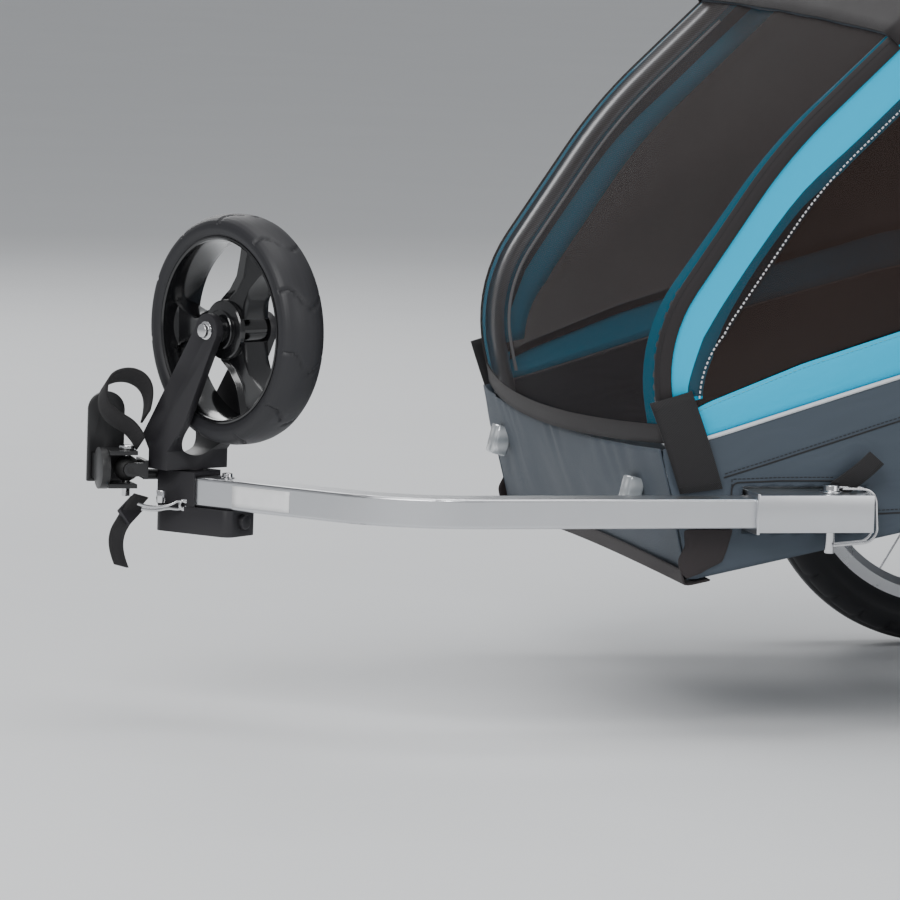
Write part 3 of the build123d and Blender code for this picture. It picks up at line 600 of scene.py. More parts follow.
def front_cover():
    """Knitted mesh over the cabin's front, with its edge bands, bindings and hem."""
    span = range(FOOT_INDEX, SEAM_INDEX + 1)
    sew("front_mesh", over_hoops(FOOT_INDEX, SEAM_INDEX, front_crown, 0.0, 0.004), FRONT_MESH, "front_cover",
        "black_mesh", (1, 0, 0.5), 0.0, ["front_cover"])
    for side, name in SIDES:
        rows = []
        for i in span:
            share = (i - FOOT_INDEX) / (SEAM_INDEX - FOOT_INDEX)
            row = [round_hoop(i, side, a, WRAP_R - 1.4) for a in (80, 55, 30, 10, 0)]
            for w in (0.5, 1.0):
                y = HOOP_MM - (24 - 22 * share ** 0.7) * w
                row.append(off_hoop(i, side * y, WRAP_R - 2.2 + front_crown(share) * (1 - (y / HOOP_MM) ** 2)))
            rows.append(row)
        sew("front_edge_band_" + name, rows, TURQUOISE, "hoops", "turquoise_fabric", (1, 0, 0.4))
        inside = [off_hoop(i, side * (HOOP_MM - 7.5), -14) for i in span[::2]]
        fit(rounded_tube("hoop_piping_" + name, inside, 0.0016, PIPING), "hoops", "turquoise_fabric")
        rows = []
        for i in span:
            row = [round_hoop(i, side, a, r) for a, r in ((38, 13.5), (56, 13.6), (74, 13.6), (90, 13.7))]
            rows.append(row + [off_hoop(i, side * (HOOP_MM + 13.7), -depth) for depth in (2, 4)])
        make("mesh_binding_" + name, rows, BLACK_TAPE, "front_cover", "black_mesh", (0, side, 0), 0.0012, 1.0)
        line = [off_hoop(i, side * (HOOP_MM + 12.7), 8) for i in span]
        stitches("binding_stitches_" + name, line, DARK_THREAD, "front_cover", "black_mesh")
    hem = []
    foot = HOOP[FOOT_INDEX][0]
    for drop in (0, 6, 12, 18):
        row = []
        for y, n in across(front_crown(0) + 0.5):
            sag = 10 * (1 - (y / HOOP_MM) ** 2)
            row.append(mm(foot.x + n + 1.2 - drop * 0.16, y, foot.y - drop + 9 - sag))
        hem.append(row)
    make("front_hem", hem, BLACK_TAPE, "front_cover", "black_mesh", (1, 0, 0), 0.0016, 1.0)


def roof():
    """Slate roof cloth, its black front band and the binding along both hoops."""
    last = max(i for i in range(len(HOOP)) if HOOP[i][0].x > -192)
    rows = over_hoops(SEAM_INDEX, last, roof_crown, 0.0, 0.002)
    sew("roof_fabric", rows, SLATE, "hoops", "slate_fabric", (0, 0, 1),
        0.0012, ["roof_cover"])
    rows = over_hoops(SEAM_INDEX, SEAM_INDEX + 10, roof_crown, -3.0, 0.002)
    make("roof_front_band", rows, BLACK_TAPE, "hoops", "black_mesh", (0, 0, 1), 0.001, 1.0)
    for side, name in SIDES:
        rows = [[round_hoop(i, side, a, WRAP_R + 1.5) for a in (78, 55, 30, 8)]
                for i in range(SEAM_INDEX, last + 1)]
        make("roof_edge_" + name, rows, BLACK_TAPE, "hoops", "black_mesh", (0, 0, 1), 0.0012, 1.0)


# ---- side panels, each outline in millimetres from the axle and the ground ----
TUB_FRONT = 516
TUB_REAR = -448
TUB_TOP = [(TUB_FRONT, 276), (472, 287), (379, 316), (279, 347), (100, 397), (-100, 437), (TUB_REAR, 470)]
LOWER_EDGE = [(486, 150), (150, 222), (TUB_REAR, 222)]
BAND_RISE = [(TUB_FRONT, 22), (472, 34), (379, 42), (100, 46), (TUB_REAR, 46)]
FLAP_TOP = Vector((-239, 806))
FLAP_LOW = Vector((TUB_REAR, 466))
SIDE_BAND = 52
WINDOW_EDGE = 20
WINDOW_REAR = -130
QUARTER_REAR = -196
BAND_SPLIT = 105
TUB_SPLIT = 114


def along_line(points, x):
    for (x0, z0), (x1, z1) in zip(points, points[1:]):
        if x >= x1:
            return z0 + (z1 - z0) * (x - x0) / (x1 - x0)
    return points[-1][1]


def piping_z(x):
    return along_line(TUB_TOP, x)


def band_top_z(x):
    return piping_z(x) + along_line(BAND_RISE, x)


def side_bands():
    """Turquoise bands that follow the hoops down each side."""
    last = max(i for i in range(len(HOOP)) if HOOP[i][0].x > -190)
    for side, name in SIDES:
        rows = []
        inner = []
        for i in range(FOOT_INDEX + 2, last + 1):
            width = SIDE_BAND * min(1.0, 0.55 + 0.45 * (i - FOOT_INDEX) / 9)
            rows.append([off_hoop(i, side * (HOOP_MM + 12.5 - 0.6 * share), 6 - share * (width + 6))
                         for share in (0, 0.15, 0.4, 0.7, 1.0)])
            inner.append(off_hoop(i, side * (HOOP_MM + 13.1), 3.5 - width))
        sew("side_band_" + name, rows, TURQUOISE, "hoops", "turquoise_fabric", (0, side, 0),
            0.001)
        stitches("side_band_stitches_" + name, inner, PIPING, "hoops", "turquoise_fabric",
                 0.0026, 0.0022, 0.0009)


def window_top_z(x):
    """Height of the window's edge under the hoops' band, at a place along the trailer."""
    best = 0
    for (p, n), (q, m) in zip(HOOP, HOOP[1:]):
        a = p - n * WINDOW_EDGE
        b = q - m * WINDOW_EDGE
        if (a.x - x) * (b.x - x) <= 0 and a.x != b.x and a.y > 330:
            best = max(best, a.y + (b.y - a.y) * (x - a.x) / (b.x - a.x))
    return best


def side_windows():
    """Tinted windows, the cloth behind them and the sloping rear corners."""
    front = max((p - n * WINDOW_EDGE).x for p, n in HOOP) - 2
    for side, name in SIDES:
        for part, x0, x1, count, material, slot in (
                ("window", front, WINDOW_REAR, 46, WINDOW, "black_mesh"),
                ("rear_quarter", WINDOW_REAR, QUARTER_REAR, 8, SLATE, "slate_fabric")):
            rows = []
            for k in range(count + 1):
                x = x0 + (x1 - x0) * k / count
                low = band_top_z(x) - 8
                high = max(window_top_z(x), low + 4)
                row = []
                for j in range(17):
                    z = low + (high - low) * j / 16
                    full = sin(pi * j / 16)
                    bow = 5.0 * full * min(1.0, (high - low) / 200)
                    ripple = 1.2 * full * wave(mm(x, 0, z), 0.11, 5.0)
                    row.append(mm(x, side * (SKIN_MM - 0.6 + (bow + ripple) * 0.5), z))
                rows.append(row)
            panel = sew("side_" + part + "_" + name, rows, material, "chassis", slot, (0, side, 0),
                        0.0006,
                        ["side_cover_" + name] if part == "window" else [])
            crumple(panel)
        low_z = band_top_z(-300) - 8
        slope = (FLAP_LOW.x - FLAP_TOP.x) / (FLAP_TOP.y - FLAP_LOW.y)
        rows = []
        for k in range(13):
            z = FLAP_TOP.y + (low_z - FLAP_TOP.y) * k / 12
            x_back = max(FLAP_TOP.x + (FLAP_TOP.y - z) * slope, TUB_REAR + 2)
            row = []
            for j in range(13):
                full = sin(pi * j / 12) * sin(pi * k / 12)
                x = QUARTER_REAR + (x_back - QUARTER_REAR) * j / 12
                row.append(mm(x, side * (SKIN_MM - 0.5 + 2.5 * full), z))
            rows.append(row)
        corner = sew("rear_corner_" + name, rows, SLATE, "chassis", "slate_fabric", (0, side, 0),
                     0.0008)
        crumple(corner)


def lower_bands():
    """Turquoise lower bands, their stitching and the white piping below."""
    for side, name in SIDES:
        rows = [[] for _ in range(6)]
        top_line = []
        pipe = []
        for k in range(121):
            x = 508 + (TUB_REAR - 508) * k / 120
            low = piping_z(x)
            high = band_top_z(x)
            for j, row in enumerate(rows):
                z = low + (high - low) * j / 5
                full = sin(pi * j / 5)
                pucker = 0.7 * full * wave(mm(x, 0, z), 0.018, 9.0)
                row.append(mm(x, side * (SKIN_MM + 1.5 + 1.6 * full + pucker), z))
            top_line.append(mm(x, side * (SKIN_MM + 2.4), high - 3.5))
            pipe.append(mm(x, side * (TUB_MM + 0.4), low - 0.5))
        for part, first, last in (("lower_band_", 0, BAND_SPLIT), ("lower_band_rear_", BAND_SPLIT, 120)):
            part_rows = [row[first:last + 1] for row in rows]
            band = sew(part + name, part_rows, TURQUOISE, "chassis", "turquoise_fabric", (0, side, 0),
                       0.0012)
            line = rounded_tube("piping_" + part + name, pipe[first:last + 1:3], 0.0021, PIPING)
            fit(line, "chassis", "slate_fabric")
            if first:
                crumple(band)
                crumple(line)
        stitches("lower_band_stitches_top_" + name, top_line[:BAND_SPLIT], THREAD, "chassis", "turquoise_fabric")


def tub_surface(x, z, side):
    """The tub side's outer surface: taut at its edges, softly full between them."""
    low = along_line(LOWER_EDGE, x)
    high = piping_z(x)
    full = sin(pi * min(1.0, max(0.0, (z - low) / (high - low))))
    p = mm(x, 0, z)
    creases = 2.0 * wave((p.x * 1.2, 0, p.z * 3.0), 0.08, 7.0) + 0.8 * wave(p, 0.03, 2.0)
    return mm(x, side * (TUB_MM + 0.3 + (3.2 + creases) * full), z)


def tub_sides():
    """Slate side skins, with separate rear corners."""
    low_x, low_z = LOWER_EDGE[0]
    top_z = TUB_TOP[0][1]
    for side, name in SIDES:
        rows = [[] for _ in range(30)]
        for k in range(131):
            x = TUB_FRONT + (TUB_REAR - TUB_FRONT) * k / 130
            low = along_line(LOWER_EDGE, min(x, low_x))
            if x > low_x:
                low = low_z + (top_z - low_z) * (x - low_x) / (TUB_FRONT + 2 - low_x)
            high = piping_z(x)
            for j, row in enumerate(rows):
                row.append(tub_surface(x, low + (high - low) * j / 29, side))
        body_rows = [row[:TUB_SPLIT + 1] for row in rows]
        panel = loft("tub_skin_" + name, body_rows, SLATE, (0, side, 0))
        if side > 0:
            cut_opening(panel)
        thicken(panel, 0.0012)
        fit(panel, "chassis", "slate_fabric", "tub_side_" + name)
        rear_rows = [row[TUB_SPLIT:] for row in rows]
        corner = sew("tub_rear_corner_" + name, rear_rows, SLATE, "chassis", "slate_fabric", (0, side, 0),
                     0.0012)
        crumple(corner)
        seams(side, name)


def cut_opening(panel):
    """Opens the left skin where the receiver comes through."""
    gap = Vector((0.003, 0, 0.003))
    low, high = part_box("tow_receiver")
    low = low - gap
    high = high + gap
    bm = bmesh.new()
    bm.from_mesh(panel.data)
    for spot, normal in ((low, (1, 0, 0)), (high, (1, 0, 0)), (low, (0, 0, 1)), (high, (0, 0, 1))):
        bmesh.ops.bisect_plane(bm, geom=bm.verts[:] + bm.edges[:] + bm.faces[:], plane_co=spot, plane_no=normal)
    middles = [(f, f.calc_center_median()) for f in bm.faces]
    inside = [f for f, m in middles if low.x < m.x < high.x and low.z < m.z < high.z]
    bmesh.ops.delete(bm, geom=inside, context="FACES")
    bm.to_mesh(panel.data)
    bm.free()


def seams(side, name):
    """Raised seams on the tub side, each a narrow welt with a row of stitches."""
    lines = [
        [(455, 249), (400, 266), (340, 285), (279, 304), (200, 326), (60, 352)],
        [(447, 214), (447, 244), (400, 246), (345, 246)],
        [(300, 214), (200, 218), (60, 232)],
    ]
    proud = Vector((0, side * 0.0002, 0))
    for n, line in enumerate(lines):
        points = []
        for (xa, za), (xb, zb) in zip(line, line[1:]):
            steps = max(2, int(hypot(xb - xa, zb - za) / 12))
            for k in range(steps):
                points.append(tub_surface(xa + (xb - xa) * k / steps, za + (zb - za) * k / steps, side) + proud)
        points.append(tub_surface(*line[-1], side) + proud)
        welt = rounded_tube("tub_seam_%d_%s" % (n, name), points, 0.0008, DARK_THREAD)
        fit(welt, "chassis", "slate_fabric")
        upper = [p + Vector((0, side * 0.0004, 0.0035)) for p in points]
        stitches("tub_seam_stitches_%d_%s" % (n, name), upper, DARK_THREAD, "chassis", "slate_fabric",
                 0.0028, 0.0016, 0.0004)


def nose_point(y, v):
    """The gathered front panel: v runs from the bottom edge to the top."""
    share = y / 304
    bulge = 21 * (1 - abs(share) ** 2.4)
    low_z = 150 + 9 * (1 - share ** 2)
    high_z = 276 - 8 * (1 - share ** 2)
    z = low_z + (high_z - low_z) * v
    x = 486 + (518 - 486) * (z - 150) / 126 + bulge * (0.35 + 0.65 * v)
    folds = sin(y / 11.0 + 2.6 * sin(y / 47.0)) + 0.8 * sin(y / 6.3 + 2.0 * sin(y / 29.0))
    gather = 0.8 * folds * v ** 3 * (1 - abs(share) ** 8)
    soft = 3.0 * wave((y / 1000, z / 1000, 0), 0.05, 4.0) * sin(pi * v)
    return mm(x + gather + soft + 1.2, y, z)


CAP_FRONT = [(495, 200), (492, 184), (499, 170), (497, 160), (489, 152)]
CAP_REAR = [(444, 200), (449, 182), (454, 168), (466, 163), (478, 157)]


def front_panel():
    """Gathered slate front, the skid strip under its edge and the two lower corner caps."""
    rows = [[nose_point(304 - 608 * k / 200, j / 24) for k in range(201)] for j in range(25)]
    sew("front_panel", rows, SLATE, "chassis", "slate_fabric", (1, 0, 0),
        0.0012, ["tub_front"])
    rows = []
    for j in range(9):
        under = max(0.0, 1 - j / 4)
        up = max(0.0, j / 4 - 1)
        shift = mm(2.4 - 26 * under + 3.4 * up, 0, -4 + 5.5 * under + 15 * up) - mm(0, 0, 0)
        row = []
        for k in range(97):
            low = nose_point(304 - 608 * k / 96, 0.0)
            row.append(Vector((low.x, low.y * 307 / 304, low.z)) + shift)
        rows.append(row)
    soften(make("skid_strip", rows, BROWN_TRIM, "chassis", "soft_rubber", (1, 0, -0.5), 0.0022, 1.0,
                ["front_bumper"]))
    for side, name in SIDES:
        rows = []
        for j in range(17):
            a = along_path(CAP_FRONT, j / 16)
            b = along_path(CAP_REAR, j / 16)
            full = sin(pi * (0.15 + 0.7 * j / 16))
            row = []
            for k in range(9):
                p = a.lerp(b, k / 8)
                row.append(mm(p.x, side * (307.0 + 2.6 * sin(pi * k / 8) * full), p.y))
            rows.append(row)
        soften(make("corner_cap_" + name, rows, BROWN_TRIM, "chassis", "soft_rubber", (0, side, 0), 0.0018, 1.0))


def along_path(points, share):
    points = [Vector((x, z, 0)) for x, z in points]
    found = point_at(points, share * run_length(points) * 0.9999)
    return Vector((found.x, found.y))


def reflectors():
    """Two clear square lenses on the front panel."""
    for side, name in SIDES:
        spot = nose_point(side * 232, 0.62) + Vector((0.0085, 0, 0))
        bm = bmesh.new()
        lean = Matrix.Rotation(radians(-13), 4, "Y")
        rounded_block(bm, (0.016, 0.026, 0.030), Matrix.Translation(spot) @ lean, 0.0026, 3)
        piece = finish_mesh(bm, "front_reflector_" + name, LENS)
        fit(piece, "chassis", "reflector_lens", *(["front_reflectors"] if side > 0 else []))


def corner_straps():
    """Wide hook-and-loop straps that hold the cover's lower corners."""
    for side, name in SIDES:
        rows = []
        for j in range(13):
            v = j / 12
            row = []
            for k in range(9):
                u = k / 8
                upper = Vector((532, 320)).lerp(Vector((491, 332)), u)
                lower = Vector((499, 234)).lerp(Vector((457, 239)), u)
                p = upper.lerp(lower, v)
                lift = 2.6 + 4.0 * max(0.0, sin(pi * v)) ** 0.8 + 1.6 * sin(pi * u)
                row.append(mm(p.x, side * (TUB_MM + lift), p.y))
            rows.append(row)
        make("corner_strap_" + name, rows, STRAP, "chassis", "black_webbing", (0, side, 0), 0.0022, 1.0,
             ["corner_straps"] if side > 0 else [])
        for n, v in enumerate((0.08, 0.93)):
            line = [rows[0][0].lerp(rows[-1][0], v), rows[0][-1].lerp(rows[-1][-1], v)]
            line = [p + Vector((0, side * 0.0042, 0)) for p in line]
            stitches("corner_strap_stitches_%s_%d" % (name, n), line, DARK_THREAD, "chassis", "black_webbing")


def rear_and_floor():
    """Sloping rear flap, the tub's back skin with its piping, and the two floor cloths."""
    rows = []
    for j in range(21):
        row = []
        for k in range(41):
            y = 301 - 602 * k / 40
            bow = 10 * sin(pi * j / 20) * (1 - (y / 301) ** 2)
            p = FLAP_TOP.lerp(FLAP_LOW, j / 20)
            row.append(mm(p.x - bow * 0.85, y, p.y + bow * 0.5))
        rows.append(row)
    flap = sew("rear_flap", rows, SLATE, "chassis", "slate_fabric", (-1, 0, 0.5),
               0.0012, ["rear_cover"])
    crumple(flap)
    rows = []
    for j in range(17):
        v = j / 16
        row = []
        for k in range(41):
            y = 304 - 608 * k / 40
            bow = 6 * (1 - (y / 304) ** 2) + 2 * wave((y / 1000, v / 4, 0), 0.07, 8.0)
            row.append(mm(TUB_REAR - 1 - bow * sin(pi * v), y, 222 + 248 * v))
        rows.append(row)
    back = sew("tub_back_skin", rows, SLATE, "chassis", "slate_fabric", (-1, 0, 0),
               0.0014, ["tub_rear"])
    crumple(back)
    for side, name in SIDES:
        line = [mm(TUB_REAR - 2.5, side * y, 470) for y in (4, 100, 200, 302)]
        pipe = rounded_tube("rear_piping_" + name, line, 0.0021, PIPING)
        crumple(fit(pipe, "chassis", "slate_fabric"))
    for part, x0, x1, z0, z1, half, replaced in (("footwell", 482, 208, 152, 210.5, 301, ["tub_floor"]),
                                                 ("luggage_floor", 92, -372, 215, 215, 248, [])):
        rows = []
        for j in range(25):
            u = j / 24
            row = []
            for k in range(25):
                y = half - 2 * half * k / 24
                sag = 4 * sin(pi * u) * (1 - (y / half) ** 2)
                row.append(mm(x0 + (x1 - x0) * u, y, z0 + (z1 - z0) * u - sag + 1.5))
            rows.append(row)
        sew(part, rows, SLATE, "chassis", "slate_fabric", (0, 0, -1),
            0.0015, replaced)


front_cover()
roof()
side_bands()
side_windows()
lower_bands()
tub_sides()
front_panel()
reflectors()
corner_straps()
rear_and_floor()


# ---- seat ----
def cushion(name, size, matrix, channels, body, node):
    """A padded cushion: grown by cloth simulation, then its sewn channels are pressed in."""
    bm = bmesh.new()
    bmesh.ops.create_cube(bm, size=1)
    shrink = 0.004
    bmesh.ops.scale(bm, vec=(size.x - 2 * shrink, size.y - 2 * shrink, size.z - 2 * shrink), verts=bm.verts)
    round_edges(bm, bm.edges[:], min(size) * 0.3, 3)
    bmesh.ops.transform(bm, matrix=matrix, verts=bm.verts)
    piece = finish_mesh(bm, name, SEAT_CLOTH, 60)
    add_modifier(piece, "REMESH", mode="VOXEL", voxel_size=0.006, use_smooth_shade=True)
    apply_all(piece)
    rest = [v.co.copy() for v in piece.data.vertices]
    inflate(piece)
    inverse = matrix.inverted()
    cap = 0.0045
    for v, start in zip(piece.data.vertices, rest):
        move = v.co - start
        if move.length > cap:
            v.co = start + move.normalized() * cap
        local = inverse @ v.co
        if local.z > 0:
            pressed = 0.0
            for at in channels:
                near = abs(local.y / size.y - at) * size.y
                pressed = max(pressed, 0.0055 * max(0.0, 1 - (near / 0.011) ** 2))
            cross = abs(local.x) % 0.11
            pressed = max(pressed, 0.003 * max(0.0, 1 - (min(cross, 0.11 - cross) / 0.008) ** 2))
            local.z -= pressed
            v.co = matrix @ local
    soften(piece, 1)
    fit(piece, body, "seat_fabric", node)
    return piece


def apply_all(piece):
    depsgraph = bpy.context.evaluated_depsgraph_get()
    mesh = bpy.data.meshes.new_from_object(piece.evaluated_get(depsgraph))
    material = piece.data.materials[0]
    piece.modifiers.clear()
    piece.data = mesh
    if not mesh.materials:
        mesh.materials.append(material)
    for face in mesh.polygons:
        face.use_smooth = True


def inflate(piece):
    scene = bpy.context.scene
    modifier = piece.modifiers.new("cloth", "CLOTH")
    settings = modifier.settings
    settings.quality = 5
    settings.mass = 0.3
    settings.use_pressure = True
    settings.uniform_pressure_force = 4
    settings.effector_weights.gravity = 0
    modifier.point_cache.frame_end = 20
    for number in range(1, 21):
        scene.frame_set(number)
    apply_all(piece)
    scene.frame_set(1)


def seats():
    low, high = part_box("seat_base")
    size = high - low
    middle = (low + high) / 2
    cushion("seat_cushion", size, Matrix.Translation(middle), (-0.25, 0.0, 0.25), "chassis", "seat_base")
    pivot = mm(-235, 0, 300)
    top = mm(-270, 0, 690)
    up = (top - pivot).normalized()
    length = (top - pivot).length
    forward = Vector((up.z, 0, -up.x))
    turn = Matrix((-up, Vector((0, 1, 0)), forward)).transposed().to_4x4()
    off_bow = 0.0204
    thick = 0.020
    centre = pivot + up * ((0.032 + length - 0.012) / 2) + forward * off_bow
    size = Vector((length - 0.044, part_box("backrest_panel")[1].y * 2, thick))
    cushion("backrest_cushion", size, Matrix.Translation(centre) @ turn, (-0.35, -0.16, 0.0, 0.16, 0.35),
            "backrest", "backrest_panel")
    face = off_bow + thick / 2 + 0.0012

    def shoulder(y, along, across):
        lean_in = 0.018 if abs(y) > 0.1 else -0.018
        spot = pivot + up * (0.065 + along * (length - 0.115)) + forward * (face + 0.0025 * sin(pi * along))
        spot.y += y + across + (1 - along) * (-lean_in if y > 0 else lean_in)
        return spot

    def crotch(y, along, across):
        lift = 0.003 + 0.002 * sin(3 * pi * along)
        return Vector((low.x + along * (high.x - low.x), y + across, seat_top + lift))

    belts("shoulder_webbing", (-0.168, -0.078, 0.078, 0.168), 12, shoulder, "backrest", "shoulder_straps")
    bm = bmesh.new()
    for y in (-0.168, -0.078, 0.078, 0.168):
        spot = pivot + up * 0.20 + forward * (face + 0.004) + Vector((0, y, 0))
        rounded_block(bm, (0.022, 0.034, 0.007), Matrix.Translation(spot) @ turn, 0.0018)
    fit(finish_mesh(bm, "strap_sliders", PLASTIC), "backrest", "black_webbing")
    low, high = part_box("lap_belts")
    seat_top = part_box("seat_base")[1].z
    belts("crotch_webbing", (-0.118, 0.118), 14, crotch, "chassis", "lap_belts")
    bm = bmesh.new()
    for y in (-0.118, 0.118):
        spot = Vector((mm(-22, 0, 0).x, y, seat_top + 0.009))
        rounded_block(bm, (0.04, 0.04, 0.010), Matrix.Translation(spot), 0.003, 3)
    fit(finish_mesh(bm, "harness_buckles", PLASTIC), "chassis", "black_webbing")


def belts(name, places, steps, point_of, body, node):
    """Flat belts side by side: each point comes from its belt's y and its shares along and across."""
    bm = bmesh.new()
    for y in places:
        for v in bmesh.ops.create_grid(bm, x_segments=steps, y_segments=2, size=0.5)["verts"]:
            v.co = point_of(y, v.co.x + 0.5, v.co.y * BELT_WIDTH)
    piece = finish_mesh(bm, name, STRAP, 60)
    thicken(piece, 0.002, 0.0)
    fit(piece, body, "black_webbing", node)


BELT_WIDTH = 0.026


seats()


# ---- tyres and wheels ----
def spin_profile(points, count):
    """A closed ring about the Y axis from (radius, y) points."""
    bm = bmesh.new()
    verts = [bm.verts.new((r, y, 0)) for r, y in points]
    edges = [bm.edges.new(pair) for pair in zip(verts, verts[1:] + verts[:1])]
    bmesh.ops.spin(bm, geom=verts + edges, cent=(0, 0, 0), axis=(0, 1, 0), angle=2 * pi, steps=count,
                   use_merge=True)
    bmesh.ops.remove_doubles(bm, verts=bm.verts, dist=1e-6)
    bmesh.ops.recalc_face_normals(bm, faces=bm.faces)
    return bm


TYRE_SQUASH = 0.985


def tread_cut(angle, lean):
    """Depth of the tread's cuts at an angle round the wheel and a lean from the tyre's crown."""
    step = angle * 36 / (2 * pi) + 0.35 * lean
    if 1.62 < lean < 1.75:
        return -0.0006
    if 0.42 < lean < 1.12 and step % 1.0 < 0.16:
        return 0.0026
    if 0.38 < lean < 0.46:
        return 0.0016
    return 0.0008 if lean < 0.05 else 0.0


def road_tyres():
    """Road tyres with shoulder blocks, a centre rib and a raised ring on the side wall."""
    section = TYRE_HALF
    centre = WHEEL_R - section
    turns = [radians(-142 + 284 * k / 36) for k in range(37)]
    outline = [(centre + section * cos(a), section * sin(a) * TYRE_SQUASH) for a in turns]
    turns = [radians(-138 + 276 * k / 12) for k in range(12, -1, -1)]
    inside = section - 0.004
    inner = [(centre + inside * cos(a) - 0.0035, inside * sin(a) * 0.86) for a in turns]
    for side, name in SIDES:
        bm = spin_profile(outline + inner, 288)
        for v in bm.verts:
            r = hypot(v.co.x, v.co.z)
            lean = abs(atan2(v.co.y, r - centre))
            depth = hypot(v.co.y / TYRE_SQUASH, r - centre)
            if depth < section * 0.93:
                continue
            scale = (depth - tread_cut(atan2(v.co.z, v.co.x), lean)) / depth
            r_new = centre + (r - centre) * scale
            v.co.y *= scale
            v.co.x *= r_new / r
            v.co.z *= r_new / r
        bmesh.ops.translate(bm, vec=(AXLE_X, side * WHEEL_Y, AXLE_Z), verts=bm.verts)
        tyre = finish_mesh(bm, "road_tyre_" + name, TYRE, 40)
        fit(tyre, "wheel_" + name, "tyre_rubber", "tyre_" + name)


CASTER_TURN = radians(24)
CASTER_CENTRE = mm(936 - 70 * sin(CASTER_TURN), 122 + 70 * cos(CASTER_TURN), 378)
CASTER_PLACE = Matrix.Translation(CASTER_CENTRE) @ Matrix.Rotation(CASTER_TURN - pi / 2, 4, "Z")


def stroller_wheel():
    """Parked stroller wheel: three deep spokes, a stepped hub and a tyre with curved cuts."""
    half = [(0.0885, 0.0205), (0.0925, 0.0236), (0.0965, 0.0249), (0.1005, 0.0246), (0.1040, 0.0225),
            (0.1066, 0.0190), (0.1084, 0.0145), (0.1095, 0.0095), (0.1100, 0.0045)]
    corners = half + [(r, -y) for r, y in half[::-1]]
    outline = []
    for (ra, ya), (rb, yb) in zip(corners, corners[1:]):
        outline += [(ra + (rb - ra) * k / 3, ya + (yb - ya) * k / 3) for k in range(3)]
    outline.append(corners[-1])
    bm = spin_profile(outline, 264)
    for v in bm.verts:
        r = hypot(v.co.x, v.co.z)
        if r < 0.0925:
            continue
        a = atan2(v.co.z, v.co.x)
        share = v.co.y / 0.025
        step = a * 11 / (2 * pi) + 0.30 * abs(share) + 0.12 * sin(3.0 * share)
        cut = 0.0
        if 0.15 < abs(share) < 0.97 and (step % 1.0) < 0.045:
            cut = 0.0016
        if 0.945 < abs(share) and r < 0.0935:
            cut = 0.0007
        v.co.x *= (r - cut) / r
        v.co.z *= (r - cut) / r
        v.co.y *= 1 - cut / 0.05
    bmesh.ops.transform(bm, matrix=CASTER_PLACE, verts=bm.verts)
    fit(finish_mesh(bm, "stroller_tyre", TYRE, 40), "caster_wheel", "tyre_rubber", "caster_tyre")
    rim = [(0.0895, 0.0200), (0.0893, 0.0222), (0.0878, 0.0228), (0.0862, 0.0216), (0.0856, 0.0190),
           (0.0838, 0.0150)]
    rim = rim + [(r, -y) for r, y in rim[::-1]]
    bm = spin_profile(rim, 120)
    hub = [(0.0042, 0.0282), (0.0120, 0.0282), (0.0132, 0.0270), (0.0132, 0.0228), (0.0182, 0.0222),
           (0.0190, 0.0214), (0.0190, 0.0190), (0.0270, 0.0176), (0.0282, 0.0164), (0.0282, 0.0120),
           (0.0200, 0.0100), (0.0130, 0.0060), (0.0130, -0.0282), (0.0042, -0.0282)]
    join_mesh(bm, spin_profile(hub, 72))
    for angle in (242, 2, 122):
        spoke = bmesh.new()
        bmesh.ops.create_cube(spoke, size=1)
        bmesh.ops.scale(spoke, vec=(0.062, 0.030, 0.034), verts=spoke.verts)
        bmesh.ops.subdivide_edges(spoke, edges=spoke.edges, cuts=3, use_grid_fill=True)
        for v in spoke.verts:
            out = v.co.x / 0.062 + 0.5
            v.co.z *= 1.06 - 0.42 * sin(pi * min(1.0, out * 1.15)) + 0.30 * out ** 4
            v.co.y *= 1.12 - 0.30 * out
        near = [f for f in spoke.faces if abs(f.normal.y) > 0.8]
        bmesh.ops.inset_region(spoke, faces=near, thickness=0.003, depth=-0.006, use_even_offset=True)
        sharp = [e for e in spoke.edges if e.calc_face_angle(0) > 0.5]
        round_edges(spoke, sharp, 0.0008)
        bmesh.ops.translate(spoke, vec=(0.0535, 0, 0), verts=spoke.verts)
        turn = Matrix.Rotation(radians(angle), 3, "Y")
        bmesh.ops.rotate(spoke, cent=(0, 0, 0), matrix=turn, verts=spoke.verts)
        join_mesh(bm, spoke)
    bmesh.ops.transform(bm, matrix=CASTER_PLACE, verts=bm.verts)
    centre = finish_mesh(bm, "stroller_wheel_centre", GLOSS, 30)
    fit(centre, "caster_wheel", "gloss_black_plastic", "caster_wheel")


def join_mesh(bm, other):
    """Adds another mesh to the first one."""
    part = bpy.data.meshes.new("part")
    other.to_mesh(part)
    other.free()
    bm.from_mesh(part)
    bpy.data.meshes.remove(part)


road_tyres()
stroller_wheel()


# ---- metal and plastic pieces ----
BEVELLED = {
    PLASTIC: {"caster_fork": 2.8, "arm_head": 2.2, "caster_button": 1.0, "axle_brackets": 1.5,
              "wheel_sockets": 1.2, "axle_button_left": 0.8, "axle_button_right": 0.8, "hoop_hubs": 1.8, "receiver_liner": 0.6},
    BLACK_STEEL: {"hitch_yoke": 0.8, "hitch_neck": 0.8, "axle_plate": 0.8, "pivot_brackets": 0.8},
    BRIGHT: {"hitch_pin": 0.6, "caster_axle": 0.9, "frame_bolts": 0.6, "tow_pin": 0.8, "pivot_pins": 0.6,
             "axle_pins": 0.5},
    FOAM: {"handlebar_grip": 2.0},
    ALUMINIUM: {"tow_receiver": 0.7},
}
for material, widths in BEVELLED.items():
    for node, width in widths.items():
        refined(node, material, width / 1000)

